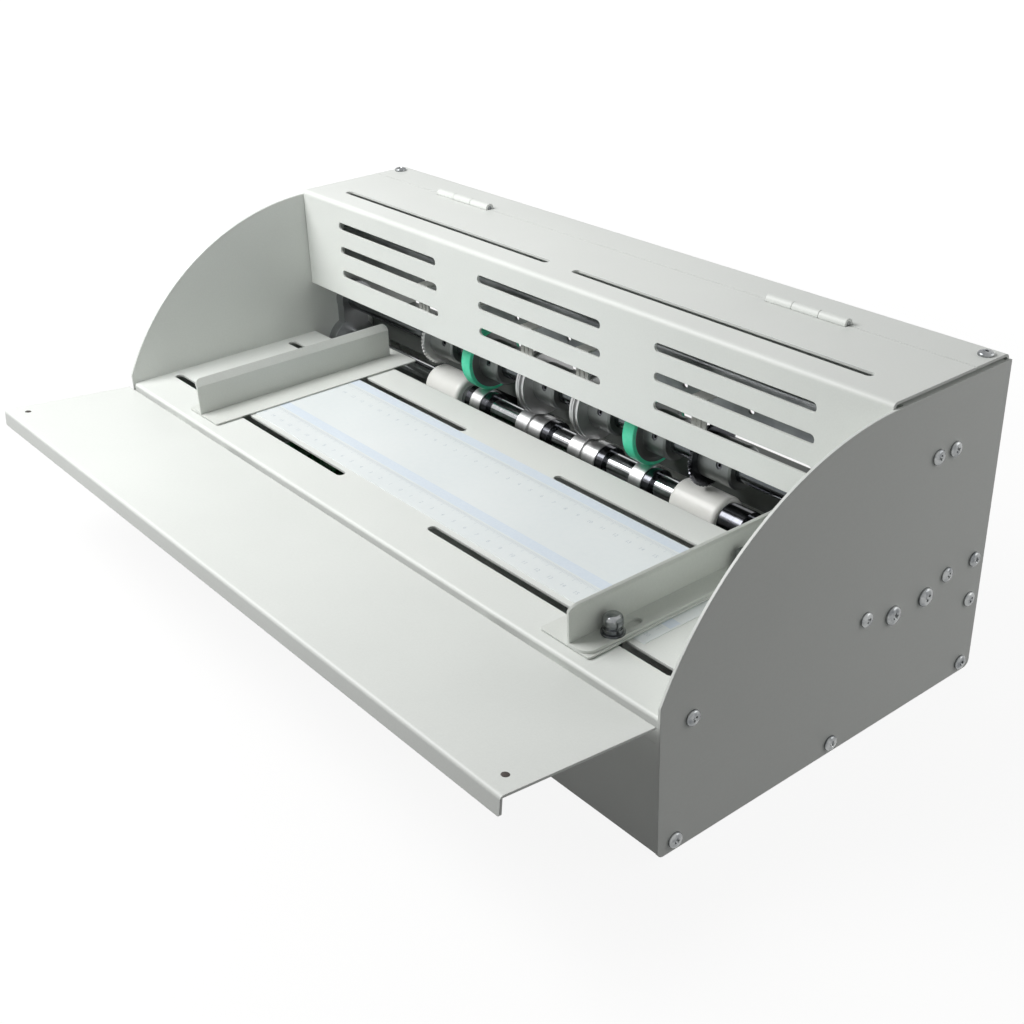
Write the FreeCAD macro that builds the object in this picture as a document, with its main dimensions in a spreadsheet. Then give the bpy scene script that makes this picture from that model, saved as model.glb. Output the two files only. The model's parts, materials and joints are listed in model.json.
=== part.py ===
import FreeCAD, Part
import math
import os
import re
import Sketcher

# Desktop paper creasing machine.
#
# A folded-sheet case holds two geared shafts.  The upper shaft carries perforating wheels, feed
# rollers and creasing wheels, each on its own hub; the lower shaft carries the sleeves, rings and
# grooved anvils that they press on.  Paper slides over the feed table between two side guides,
# passes the nip and leaves over the exit deck.  A slotted cover swings up on two hinges, and a
# feed tray folds up in front of the case.
#
# Lengths are in millimetres and angles in degrees.  x runs to the right, y from the front edge of
# the side panels to the rear, and z up from the floor; new_body() then moves every sub-part by
# front_y, so that the origin lies under the middle of the whole machine.

SIZES = {
    # case
    "case_width": 505.0,
    "sheet_wall": 1.5,
    "bend_radius": 2.0,
    "panel_lift": 1.0,
    "panel_top": 178.5,
    "panel_front_z": 84.1,
    "panel_arc_run": 3.5,
    "panel_corner": 4.0,
    "panel_flange_width": 13.0,
    "panel_flange_inset": 7.0,
    "base_lift": 3.0,
    "base_flange": 11.0,
    "front_set_back": 0.8,
    "return_flange": 12.0,
    "rear_tab_depth": 16.0,
    "rear_tab_low": 36.0,
    "rear_tab_high": 58.0,
    "foot_radius": 9.0,
    "foot_inset_x": 27.0,
    "foot_inset_y": 25.0,
    # feed table, exit deck and ruler film
    "table_top": 78.0,
    "skirt_depth": 14.0,
    "table_rear_y": 145.0,
    "roller_bay": 48.5,
    "deck_depth": 40.5,
    "slot_front_y": 29.4,
    "slot_rear_y": 118.6,
    "slot_width": 5.6,
    "slot_left_inset": 7.0,
    "slot_left_inner": 39.0,
    "slot_right_inner": 46.0,
    "slot_right_inset": 19.0,
    "film_wall": 0.3,
    "film_inset": 46.0,
    "film_front_y": 36.0,
    "film_rear_y": 112.0,
    # cover and rear hood
    "pad_height": 1.4,
    "cover_bottom": 114.5,
    "cover_side_gap": 0.35,
    "cover_bend": 3.0,
    "seam_gap": 0.6,
    "hood_bottom": 112.0,
    "cover_slot_width": 5.4,
    "cover_slot_length": 110.0,
    "cover_slot_pitch": 152.7,
    "cover_row_drop": 16.4,
    "cover_row_pitch": 16.8,
    "top_slot_setback": 19.6,
    "top_slot_inner": 11.0,
    "top_slot_inset": 27.0,
    "pad_radius": 4.0,
    "pad_inset": 6.5,
    "pad_front_setback": 13.0,
    "pad_hinge_setback": 8.5,
    "hood_screw_setback": 10.5,
    # cover hinges
    "hinge_setback": 26.5,
    "hinge_rise": 0.6,
    "hinge_inset": 105.0,
    "hinge_length": 54.0,
    "knuckle_radius": 3.0,
    "hinge_pin_radius": 1.5,
    "leaf_wall": 1.2,
    "leaf_reach": 16.0,
    "knuckle_gap": 0.3,
    # front tray
    "tray_length": 85.1,
    "tray_overhang": 0.8,
    "tray_wall": 1.2,
    "tray_lip": 10.0,
    "tray_tilt": 5.8,
    "tray_axis_reach": 4.45,
    "tray_axis_drop": 4.8,
    "tray_knuckle_radius": 1.7,
    "tray_pin_radius": 0.8,
    "tray_leaf_wall": 0.6,
    "tray_hinge_inset": 67.5,
    "tray_hinge_length": 42.0,
    "tray_leaf_drop": 7.0,
    "tray_corner": 1.5,
    "tray_hole_radius": 1.8,
    "tray_hole_inset_x": 10.5,
    "tray_hole_inset_y": 11.0,
    "stop_inset": 122.5,
    "stop_wall": 2.0,
    "stop_reach": 42.0,
    "stop_root": 34.0,
    "stop_heel": 3.0,
    "stop_flange": 12.0,
    # side guides
    "guide_left_x": 170.5,
    "guide_right_x": 183.0,
    "guide_front_y": 8.0,
    "guide_wall_run": 146.0,
    "guide_base_run": 154.0,
    "guide_bend_height": 18.5,
    "guide_lip": 5.5,
    "guide_lip_angle": 32.0,
    "guide_foot": 13.5,
    "guide_ledge": 20.0,
    "guide_base_foot": 15.0,
    "guide_base_wall": 0.8,
    "guide_corner": 6.0,
    "guide_base_corner": 1.5,
    "guide_lip_corner": 4.0,
    "slide_gap": 0.2,
    "stud_reach": 8.0,
    "stud_radius": 2.5,
    "stud_slot_length": 24.0,
    "stud_slot_shift": 5.6,
    "stud_tail": 1.0,
    "washer_radius": 6.0,
    "washer_wall": 1.0,
    "clamp_knob_radius": 5.0,
    "clamp_knob_height": 9.0,
    "clamp_knob_bore": 6.3,
    "clamp_knob_dome": 2.6,
    "clamp_knob_foot": 2.0,
    "clamp_knob_waist": 4.0,
    "nut_radius": 4.6,
    "nut_height": 4.0,
    # shafts and bearings
    "lower_axis_setback": 27.0,
    "lower_axis_drop": 13.5,
    "axis_offset": 5.0,
    "shaft_radius": 8.0,
    "journal_radius": 6.0,
    "shaft_end_gap": 0.3,
    "bearing_width": 8.0,
    "lower_bearing_radius": 18.0,
    "upper_bearing_radius": 13.0,
    "bearing_web": 20.0,
    "fit_gap": 0.05,
    # tools
    "perf_left_x": -137.0,
    "feed_left_x": -86.0,
    "crease_left_x": -31.5,
    "crease_right_x": 19.0,
    "feed_right_x": 66.0,
    "perf_right_x": 112.5,
    "sleeve_left_x": -120.5,
    "sleeve_right_x": 113.6,
    "sleeve_length": 36.0,
    "sleeve_radius": 13.0,
    "sleeve_rim": 3.0,
    "ring_length": 10.0,
    "anvil_length": 24.0,
    "ring_radius": 11.0,
    "groove_width": 2.4,
    "groove_depth": 1.2,
    "collar_length": 6.0,
    "collar_radius": 10.4,
    "end_collar_length": 16.0,
    "nip_gap": 0.3,
    "tyre_wall": 4.0,
    "tyre_rim": 0.8,
    "feed_width": 9.0,
    "crease_width": 7.2,
    "rim_width": 1.6,
    "rim_groove_depth": 1.3,
    "ridge_width": 1.0,
    "ridge_height": 0.9,
    "perf_width": 2.4,
    "perf_edge": 0.8,
    "perf_teeth": 44.0,
    "perf_tooth_depth": 1.3,
    "perf_bevel": 1.6,
    "hub_length": 26.0,
    "hub_radius": 13.0,
    "hub_neck_radius": 11.0,
    "hub_chamfer": 1.2,
    "grub_radius": 2.2,
    "grub_inset": 8.0,
    "grub_sink": 0.6,
    "grub_tilt": 15.0,
    # gears and drive
    "gear_module": 1.0,
    "lower_teeth": 22.0,
    "upper_teeth": 43.0,
    "drive_teeth": 32.0,
    "pinion_teeth": 16.0,
    "pressure_angle": 20.0,
    "gear_backlash": 0.16,
    "gear_width": 8.0,
    "gear_hub_radius": 10.5,
    "gear_side_gap": 1.0,
    "gear_spacing": 4.0,
    "pinion_flange_radius": 15.5,
    "pinion_flange_length": 6.8,
    "pinion_flange_gap": 0.8,
    "bracket_gap": 1.0,
    "bracket_wall": 2.0,
    "bracket_foot": 14.0,
    "bracket_margin": 4.0,
    "gearbox_length": 26.0,
    "gearbox_radius": 11.0,
    "motor_radius": 21.0,
    "motor_length": 62.0,
    "motor_drop": 15.0,
    "motor_forward": 17.0,
    "motor_boss_radius": 7.0,
    "motor_boss_length": 4.0,
    "pinion_shaft_radius": 3.0,
    "pinion_seat": 8.0,
    # tie bar and tool guards
    "bar_setback": 3.0,
    "bar_depth": 27.0,
    "bar_drop": 29.0,
    "bar_height": 22.0,
    "bar_hole_rise": 5.1,
    "bar_hole_x": 43.0,
    "bar_hole_pitch": 49.0,
    "bar_hole_radius": 2.0,
    "guard_width": 10.4,
    "guard_wall": 1.2,
    "guard_shift": 9.0,
    "guard_reach": 19.5,
    "guard_rise": 13.0,
    "guard_length": 30.5,
    "guard_tab": 6.5,
    "guard_slit": 1.0,
    "guard_slit_length": 24.0,
    # electrical parts on the rear panel and the base
    "inlet_inset": 62.5,
    "switch_inset": 112.5,
    "dial_inset": 156.5,
    "rear_parts_z": 34.0,
    "cutout_gap": 0.2,
    "bezel_wall": 2.0,
    "inlet_width": 28.0,
    "inlet_height": 21.0,
    "inlet_depth": 24.0,
    "inlet_ear": 11.0,
    "inlet_rim": 2.0,
    "inlet_socket_depth": 17.0,
    "inlet_chamfer": 4.0,
    "inlet_pin_width": 2.0,
    "inlet_pin_height": 4.0,
    "inlet_pin_length": 12.0,
    "inlet_pin_pitch": 7.0,
    "inlet_hole_radius": 1.7,
    "switch_width": 21.0,
    "switch_height": 15.0,
    "switch_depth": 18.0,
    "switch_rim": 1.8,
    "switch_well": 5.7,
    "rocker_side_gap": 0.4,
    "rocker_end_gap": 1.0,
    "rocker_angle": 9.0,
    "rocker_sink": 2.2,
    "rocker_crown": 3.2,
    "rocker_belly": 1.0,
    "rocker_fold": 1.2,
    "rocker_pin_radius": 1.2,
    "rocker_pin_length": 1.0,
    "dial_body_radius": 8.0,
    "dial_body_depth": 12.0,
    "dial_shaft_radius": 3.0,
    "dial_shaft_seat": 8.0,
    "dial_gap": 1.0,
    "dial_radius": 9.0,
    "dial_tip_radius": 7.6,
    "dial_length": 11.0,
    "dial_mark_width": 1.2,
    "board_side_gap": 51.0,
    "board_front_gap": 27.7,
    "board_length": 110.0,
    "board_width": 74.0,
    "board_wall": 1.6,
    "board_inset": 6.0,
    "board_rise": 6.0,
    "post_radius": 3.0,
    "coil_size": 26.0,
    "coil_height": 24.0,
    "can_radius": 7.0,
    "can_height": 22.0,
    "sink_width": 30.0,
    "sink_depth": 10.0,
    "sink_height": 20.0,
    "part_spacing": 34.0,
    # fasteners
    "screw_hole_radius": 2.0,
    "screw_head_radius": 4.1,
    "screw_head_height": 2.2,
    "screw_length": 7.0,
    "bearing_screw_radius": 2.5,
    "bearing_head_radius": 5.2,
    "bearing_head_height": 2.6,
    "bearing_screw_length": 9.0,
    "bearing_screw_spread": 12.9,
    "base_screw_rise": 4.2,
    "base_screw_front_y": 10.7,
    "base_screw_mid_y": 118.4,
    "rear_screw_setback": 9.2,
    "skirt_screw_drop": 7.1,
    "table_screw_front_y": 19.5,
    "table_screw_setback": 7.0,
    "deck_screw_setback": 8.0,
    "tab_screw_z": 46.9,
    "bar_screw_front_inset": 6.7,
    "bar_screw_rear_inset": 7.0,
    "bar_screw_drop": 6.1,
}

DERIVED = {
    "case_half": "case_width / 2",
    "inner_half": "case_half - sheet_wall",
    "cover_half": "inner_half - cover_side_gap",
    "deck_front_y": "table_rear_y + roller_bay",
    "case_depth": "deck_front_y + deck_depth",
    "arc_y": "table_rear_y + panel_arc_run",
    "arc_fall": "panel_top - panel_front_z",
    "arc_radius": "(arc_y ^ 2 + arc_fall ^ 2) / (2 * arc_fall)",
    "arc_z": "panel_top - arc_radius",
    "slot_left_outer": "inner_half - slot_left_inset",
    "slot_right_outer": "inner_half - slot_right_inset",
    "film_half_length": "inner_half - film_inset",
    "skirt_bottom": "table_top - skirt_depth",
    "table_under": "table_top - sheet_wall",
    "film_top": "table_top + film_wall",
    "base_top": "base_lift + sheet_wall",
    "front_inner_y": "front_set_back + sheet_wall",
    "rear_inner_y": "case_depth - sheet_wall",
    "cover_under": "panel_top + pad_height",
    "cover_top": "cover_under + sheet_wall",
    "cover_row_top": "cover_top - cover_row_drop",
    "top_slot_y": "table_rear_y + top_slot_setback",
    "top_slot_outer": "inner_half - top_slot_inset",
    "hinge_y": "case_depth - hinge_setback",
    "hinge_x": "case_half - hinge_inset",
    "hinge_z": "cover_top + hinge_rise",
    "knuckle_clear": "knuckle_radius + knuckle_gap",
    "leaf_z": "cover_under - leaf_wall",
    "pad_x": "inner_half - pad_inset",
    "pad_front_y": "table_rear_y + pad_front_setback",
    "pad_mid_y": "hinge_y - pad_hinge_setback",
    "hood_screw_y": "case_depth - hood_screw_setback",
    "tray_hinge_x": "case_half - tray_hinge_inset",
    "stop_x": "case_half - stop_inset",
    "tray_axis_y": "front_set_back - tray_axis_reach",
    "tray_axis_z": "table_top - tray_axis_drop",
    "tray_front": "tray_length - tray_overhang",
    "tray_seat": "tray_knuckle_radius + knuckle_gap",
    "tray_top": "tray_seat + tray_wall",
    "lip_drop": "tray_lip - tray_top",
    "tray_reach": "tray_front * cos(tray_tilt) + lip_drop * sin(tray_tilt) - tray_axis_y",
    "dial_reach": "dial_gap + dial_length",
    "front_y": "(tray_reach - case_depth - dial_reach) / 2",
    "guide_rear_y": "guide_front_y + guide_wall_run",
    "guide_base_rear_y": "guide_front_y + guide_base_run",
    "guide_base_z": "film_top + slide_gap",
    "guide_foot_z": "guide_base_z + guide_base_wall",
    "washer_z": "guide_foot_z + sheet_wall",
    "clamp_knob_z": "washer_z + washer_wall + slide_gap",
    "nut_z": "table_under - slide_gap - nut_height",
    "lower_axis_y": "table_rear_y + lower_axis_setback",
    "lower_axis_z": "table_top - lower_axis_drop",
    "axis_distance": "gear_module * (lower_teeth + upper_teeth) / 2",
    "upper_axis_y": "lower_axis_y + axis_offset",
    "upper_axis_z": "lower_axis_z + sqrt(axis_distance ^ 2 - axis_offset ^ 2)",
    "feed_radius": "axis_distance - ring_radius - nip_gap",
    "perf_radius": "axis_distance - sleeve_radius - nip_gap",
    "crease_radius": "axis_distance - ring_radius - 2 * nip_gap",
    "shoulder_x": "inner_half - bearing_width",
    "sync_gear_x": "shoulder_x - gear_side_gap - gear_width",
    "drive_gear_x": "sync_gear_x - gear_spacing - gear_width",
    "drive_distance": "gear_module * (drive_teeth + pinion_teeth) / 2",
    "pinion_y": "lower_axis_y - drive_distance * sqrt(0.5)",
    "pinion_z": "lower_axis_z - drive_distance * sqrt(0.5)",
    "pinion_flange_reach": "pinion_flange_gap + pinion_flange_length",
    "bracket_x": "drive_gear_x - pinion_flange_reach - bracket_gap - bracket_wall",
    "gearbox_x": "bracket_x - gearbox_length",
    "motor_y": "pinion_y - motor_forward",
    "motor_z": "pinion_z - motor_drop",
    "bar_front_y": "lower_axis_y + bar_setback",
    "bar_rear_y": "bar_front_y + bar_depth",
    "bar_top": "panel_top - bar_drop",
    "bar_bottom": "bar_top - bar_height",
    "bar_hole_z": "bar_bottom + bar_hole_rise",
    "guard_front_y": "bar_front_y - guard_reach",
    "guard_top": "bar_bottom + guard_rise",
    "guard_bottom": "guard_top - guard_length",
    "guard_slit_top": "guard_bottom + guard_slit_length",
    "inlet_x": "inlet_inset - case_half",
    "switch_x": "switch_inset - case_half",
    "dial_x": "dial_inset - case_half",
    "board_x": "board_side_gap - inner_half",
    "board_y": "front_inner_y + board_front_gap",
    "base_screw_z": "base_lift + base_screw_rise",
    "rear_screw_y": "case_depth - rear_screw_setback",
    "skirt_screw_z": "table_top - skirt_screw_drop",
    "table_screw_rear_y": "table_rear_y - table_screw_setback",
    "deck_screw_front_y": "deck_front_y + deck_screw_setback",
    "bar_screw_front_y": "bar_front_y + bar_screw_front_inset",
    "bar_screw_rear_y": "bar_rear_y - bar_screw_rear_inset",
    "bar_screw_z": "bar_top - bar_screw_drop",
}

TOOLS = ("perf_left", "feed_left", "crease_left", "crease_right", "feed_right", "perf_right")
SIDES = (("left", -1), ("right", 1))
SLOTS = ("slot_front_y", "slot_rear_y")
BASE_SCREWS = (
    ("base_screw_front_y", "base_screw_z"),
    ("base_screw_mid_y", "base_screw_z"),
    ("rear_screw_y", "base_screw_z"),
)
TABLE_SCREWS = (("table_screw_front_y", "skirt_screw_z"), ("table_screw_rear_y", "skirt_screw_z"))
DECK_SCREWS = (("deck_screw_front_y", "skirt_screw_z"), ("rear_screw_y", "skirt_screw_z"))
TAB_SCREWS = (("rear_screw_y", "tab_screw_z"),)
BAR_SCREWS = (("bar_screw_front_y", "bar_screw_z"), ("bar_screw_rear_y", "bar_screw_z"))
CASE_SCREWS = BASE_SCREWS + TABLE_SCREWS + DECK_SCREWS + TAB_SCREWS + BAR_SCREWS
BEARING_SCREWS = (
    ("lower_axis_y - bearing_screw_spread", "lower_axis_z"),
    ("lower_axis_y + bearing_screw_spread", "lower_axis_z"),
)

# Each plane's role, and the sign of its normal along the axis that it is square to.
PLANES = {"XY": ("XY_Plane", 1), "XZ": ("XZ_Plane", -1), "YZ": ("YZ_Plane", 1)}
NAME = re.compile(r"[a-z][a-z_0-9]*")

doc = FreeCAD.newDocument("CreasingMachine")
sheet = doc.addObject("Spreadsheet::Sheet", "Sizes")
subparts = []


def fill_sheet():
    """Write every driving dimension into a cell of its own."""
    for row, (name, size) in enumerate(SIZES.items(), start=1):
        sheet.set(f"A{row}", name)
        sheet.set(f"B{row}", str(size))
        sheet.setAlias(f"B{row}", name)
    doc.recompute()


def spelled(text):
    """Replace each derived name in an expression by what it stands for."""
    while any(name in DERIVED for name in NAME.findall(text)):
        text = NAME.sub(lambda m: f"({DERIVED[m[0]]})" if m[0] in DERIVED else m[0], text)
    return text


def cells(text):
    """Expression that reads every driving dimension from the sheet."""
    return NAME.sub(lambda m: f"Sizes.{m[0]}" if m[0] in SIZES else m[0], spelled(text))


def number(text):
    """Value of an expression as a plain number."""
    return float(sheet.evalExpression(spelled(text)))


# ---------------------------------------------------------------- sub-parts and their features


def new_body(label, x="0", y="0", z="0", tilt=None):
    """Body at a point of the machine, tilted front end up by an angle about its x axis."""
    body = doc.addObject("PartDesign::Body", label)
    subparts.append(body)
    if tilt:
        body.Placement.Rotation = FreeCAD.Rotation(FreeCAD.Vector(-1, 0, 0), number(tilt))
        body.setExpression("Placement.Rotation.Angle", cells(tilt))
    place(body, x, y, z)
    return body


def place(part, x, y, z):
    part.setExpression("Placement.Base.x", cells(x))
    part.setExpression("Placement.Base.y", cells(f"front_y + ({y})"))
    part.setExpression("Placement.Base.z", cells(z))


def new_sketch(body, plane, level, shapes):
    """Sketch of some shapes, square to an axis at a level along it."""
    role, sign = PLANES[plane]
    sketch = body.newObject("Sketcher::SketchObject", f"{body.Name}_{plane}")
    sketch.AttachmentSupport = [(next(f for f in body.Origin.OriginFeatures if f.Role == role), "")]
    sketch.MapMode = "FlatFace"
    sketch.setExpression("AttachmentOffset.Base.z", cells(f"{sign} * ({level})"))
    for draw in shapes:
        draw(sketch)
    return sketch


def pad(body, plane, level, length, *shapes):
    """Add a prism that runs from a level along the positive axis."""
    feature = body.newObject("PartDesign::Pad", f"{body.Name}_Pad")
    feature.Profile = new_sketch(body, plane, level, shapes)
    feature.Reversed = PLANES[plane][1] < 0
    feature.setExpression("Length", cells(length))
    doc.recompute()


def cut(body, plane, level, length, *shapes):
    """Remove a prism that runs from a level along the positive axis."""
    feature = body.newObject("PartDesign::Pocket", f"{body.Name}_Pocket")
    feature.Profile = new_sketch(body, plane, level, shapes)
    feature.Reversed = PLANES[plane][1] > 0
    feature.setExpression("Length", cells(length))
    doc.recompute()


def drill(body, plane, *shapes):
    """Cut shapes through everything, both ways from the body's own plane."""
    feature = body.newObject("PartDesign::Pocket", f"{body.Name}_Drill")
    feature.Profile = new_sketch(body, plane, "0", shapes)
    feature.Type = "ThroughAll"
    feature.SideType = "Symmetric"
    doc.recompute()


def turn(body, plane, *shapes, axis="H_Axis"):
    """Add the shapes turned about one of the sketch's own axes."""
    feature = body.newObject("PartDesign::Revolution", f"{body.Name}_Turned")
    sketch = new_sketch(body, plane, "0", shapes)
    feature.Profile = sketch
    feature.ReferenceAxis = (sketch, [axis])
    feature.Angle = 360
    doc.recompute()


def round_edges(body, radius, *points, flat=False):
    """Round, or chamfer when flat, the edges that pass through the points."""
    base = body.Tip
    spots = [Part.Vertex(*[number(value) for value in point]) for point in points]
    edges = base.Shape.Edges
    names = []
    for spot in spots:
        gaps = [edge.distToShape(spot)[0] for edge in edges]
        names.append(f"Edge{gaps.index(min(gaps)) + 1}")
    kind = "Chamfer" if flat else "Fillet"
    feature = body.newObject(f"PartDesign::{kind}", f"{body.Name}_{kind}")
    feature.Base = (base, names)
    feature.setExpression("Size" if flat else "Radius", cells(radius))
    doc.recompute()


# ---------------------------------------------------------------- shapes drawn in a sketch


def constrain(sketch, kind, geometry, *rest):
    """Add a dimension whose value, the last argument, is an expression."""
    index = sketch.addConstraint(Sketcher.Constraint(kind, geometry, *rest[:-1], number(rest[-1])))
    sketch.setExpression(f"Constraints[{index}]", cells(rest[-1]))


def draw_outline(sketch, points):
    """Closed outline through points (x, y), drawn anticlockwise.

    A point (x, y, cx, cy) is reached by an arc about (cx, cy).  The arc already fixes one of its
    end's coordinates, so that end takes only the other one.
    """
    first = sketch.GeometryCount
    count = len(points)
    corners = [FreeCAD.Vector(number(p[0]), number(p[1]), 0) for p in points]
    centres = [point[2:] for point in points]
    arcs = {i: centres[(i + 1) % count] for i in range(count) if centres[(i + 1) % count]}
    for i in range(count):
        start = corners[i]
        end = corners[(i + 1) % count]
        if i not in arcs:
            sketch.addGeometry(Part.LineSegment(start, end), False)
            continue
        centre = FreeCAD.Vector(number(arcs[i][0]), number(arcs[i][1]), 0)
        circle = Part.Circle(centre, FreeCAD.Vector(0, 0, 1), (start - centre).Length)
        arc = Part.ArcOfCircle(circle, circle.parameter(start), circle.parameter(end))
        sketch.addGeometry(arc, False)
    for i in range(count):
        sketch.addConstraint(
            Sketcher.Constraint("Coincident", first + i, 2, first + (i + 1) % count, 1)
        )
    for i, point in enumerate(points):
        across, along = True, True
        if len(point) > 2:
            reach = corners[i] - FreeCAD.Vector(number(point[2]), number(point[3]), 0)
            across = abs(reach.y) > abs(reach.x)
            along = not across
        if across:
            constrain(sketch, "DistanceX", first + i, 1, point[0])
        if along:
            constrain(sketch, "DistanceY", first + i, 1, point[1])
    for i, centre in arcs.items():
        constrain(sketch, "DistanceX", first + i, 3, centre[0])
        constrain(sketch, "DistanceY", first + i, 3, centre[1])


def outline(*points):
    return lambda sketch: draw_outline(sketch, points)


def box(x0, x1, y0, y1):
    return outline((x0, y0), (x1, y0), (x1, y1), (x0, y1))


def slot(x0, x1, y0, y1):
    """Round-ended slot that fills the box x0..x1, y0..y1 and is longer along x."""
    radius = f"({y1} - ({y0})) / 2"
    left = f"{x0} + {radius}"
    right = f"{x1} - {radius}"
    middle = f"{y0} + {radius}"
    return outline((left, y0, left, middle), (right, y0), (right, y1, right, middle), (left, y1))


def tall_slot(x0, x1, y0, y1):
    """Round-ended slot that fills the box x0..x1, y0..y1 and is longer along y."""
    radius = f"({x1} - ({x0})) / 2"
    low = f"{y0} + {radius}"
    high = f"{y1} - {radius}"
    middle = f"{x0} + {radius}"
    return outline((x0, low), (x1, low, middle, low), (x1, high), (x0, high, middle, high))


def barrel(x0, x1, bore, radius, rim):
    """Half section of a ring about the x axis with rounded outer rims."""
    side = f"{radius} - {rim}"
    right = f"{x1} - {rim}"
    left = f"{x0} + {rim}"
    return outline(
        (x0, bore),
        (x1, bore),
        (x1, side),
        (right, radius, right, side),
        (left, radius),
        (x0, side, left, side),
    )


def disc(x, y, radius):
    def draw(sketch):
        geometry = sketch.GeometryCount
        centre = FreeCAD.Vector(number(x), number(y), 0)
        sketch.addGeometry(Part.Circle(centre, FreeCAD.Vector(0, 0, 1), number(radius)), False)
        constrain(sketch, "DistanceX", geometry, 3, x)
        constrain(sketch, "DistanceY", geometry, 3, y)
        constrain(sketch, "Radius", geometry, radius)

    return draw


def hexagon(x, y, radius):
    """Hexagon with two corners on the y axis through its centre."""
    half = f"({radius}) / 2"
    flat = f"({radius}) * sqrt(0.75)"
    return outline(
        (f"{x} + {flat}", f"{y} - {half}"),
        (f"{x} + {flat}", f"{y} + {half}"),
        (x, f"{y} + {radius}"),
        (f"{x} - {flat}", f"{y} + {half}"),
        (f"{x} - {flat}", f"{y} - {half}"),
        (x, f"{y} - {radius}"),
    )


def both(half):
    """The two ends of a width that is centred on zero."""
    return f"-1 * ({half})", half


def around(middle, width):
    """The two ends of a width about its middle."""
    return f"{middle} - ({width}) / 2", f"{middle} + ({width}) / 2"


def outward(sign, inner, outer):
    """The two ends of a width measured outwards on the left (-1) or right (1) side."""
    ends = (inner, outer) if sign > 0 else (outer, inner)
    return tuple(f"{sign} * ({end})" for end in ends)


# ---------------------------------------------------------------- case


def make_side_panel(side, sign):
    """Flat side wall with an arched front and a flange turned inwards along its top."""
    body = new_body(f"side_panel_{side}", x=f"{sign} * inner_half")
    wall = outward(sign, "0", "sheet_wall")
    shape = outline(
        ("0", "panel_lift"),
        ("case_depth", "panel_lift"),
        ("case_depth", "panel_top"),
        ("arc_y", "panel_top"),
        ("0", "panel_front_z", "arc_y", "arc_z"),
    )
    pad(body, "YZ", wall[0], "sheet_wall", shape)
    middle = f"{sign} * sheet_wall / 2"
    round_edges(
        body,
        "panel_corner",
        (middle, "0", "panel_lift"),
        (middle, "case_depth", "panel_lift"),
        (middle, "0", "panel_front_z"),
    )
    flange = outward(sign, "-1 * panel_flange_width", "sheet_wall / 2")
    front = "table_rear_y + panel_flange_inset"
    rear = "rear_inner_y - sheet_wall"
    pad(body, "XY", "panel_top - sheet_wall", "sheet_wall", box(*flange, front, rear))
    holes = [disc(y, z, "screw_hole_radius") for y, z in CASE_SCREWS]
    holes += [disc(y, z, "bearing_screw_radius") for y, z in BEARING_SCREWS]
    drill(body, "YZ", *holes)
    drill(body, "XY", disc(f"-1 * {sign} * pad_inset", "hood_screw_y", "screw_hole_radius"))


def make_base_plate():
    """Shallow open tray that closes the case below."""
    body = new_body("base_plate")
    wide = both("inner_half")
    pad(body, "XY", "base_lift", "base_flange", box(*wide, "front_inner_y", "rear_inner_y"))
    inner = both("inner_half - sheet_wall")
    room = box(*inner, "front_inner_y + sheet_wall", "rear_inner_y - sheet_wall")
    cut(body, "XY", "base_top", "base_flange - sheet_wall", room)
    drill(body, "YZ", *[disc(y, z, "screw_hole_radius") for y, z in BASE_SCREWS])


def make_front_panel():
    body = new_body("front_panel")
    wide = both("inner_half")
    height = "skirt_bottom - base_lift"
    pad(body, "XY", "base_lift", height, box(*wide, "front_set_back", "front_inner_y"))
    lip = box(*wide, "front_set_back", "front_inner_y + return_flange")
    pad(body, "XY", "skirt_bottom - sheet_wall", "sheet_wall", lip)


def make_feed_table():
    """Inverted tray with four cross slots for the studs of the side guides."""
    body = new_body("feed_table")
    wide = both("inner_half")
    pad(body, "XY", "skirt_bottom", "skirt_depth", box(*wide, "front_set_back", "table_rear_y"))
    inner = both("inner_half - sheet_wall")
    room = box(*inner, "front_inner_y", "table_rear_y - sheet_wall")
    cut(body, "XY", "skirt_bottom", "skirt_depth - sheet_wall", room)
    slots = []
    for y in SLOTS:
        span = around(y, "slot_width")
        slots.append(slot("-1 * slot_left_outer", "-1 * slot_left_inner", *span))
        slots.append(slot("slot_right_inner", "slot_right_outer", *span))
    cut(body, "XY", "table_under", "sheet_wall", *slots)
    drill(body, "YZ", *[disc(y, z, "screw_hole_radius") for y, z in TABLE_SCREWS])
    top = "table_top"
    round_edges(body, "bend_radius", ("0", "front_set_back", top), ("0", "table_rear_y", top))


def make_exit_deck():
    body = new_body("exit_deck")
    wide = both("inner_half")
    pad(body, "XY", "skirt_bottom", "skirt_depth", box(*wide, "deck_front_y", "case_depth"))
    inner = both("inner_half - sheet_wall")
    room = box(*inner, "deck_front_y + sheet_wall", "rear_inner_y")
    cut(body, "XY", "skirt_bottom", "skirt_depth - sheet_wall", room)
    drill(body, "YZ", *[disc(y, z, "screw_hole_radius") for y, z in DECK_SCREWS])
    round_edges(
        body, "bend_radius", ("0", "deck_front_y", "table_top"), ("0", "case_depth", "table_top")
    )


def make_ruler_film():
    body = new_body("ruler_film")
    area = box(*both("film_half_length"), "film_front_y", "film_rear_y")
    pad(body, "XY", "table_top", "film_wall", area)


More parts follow.
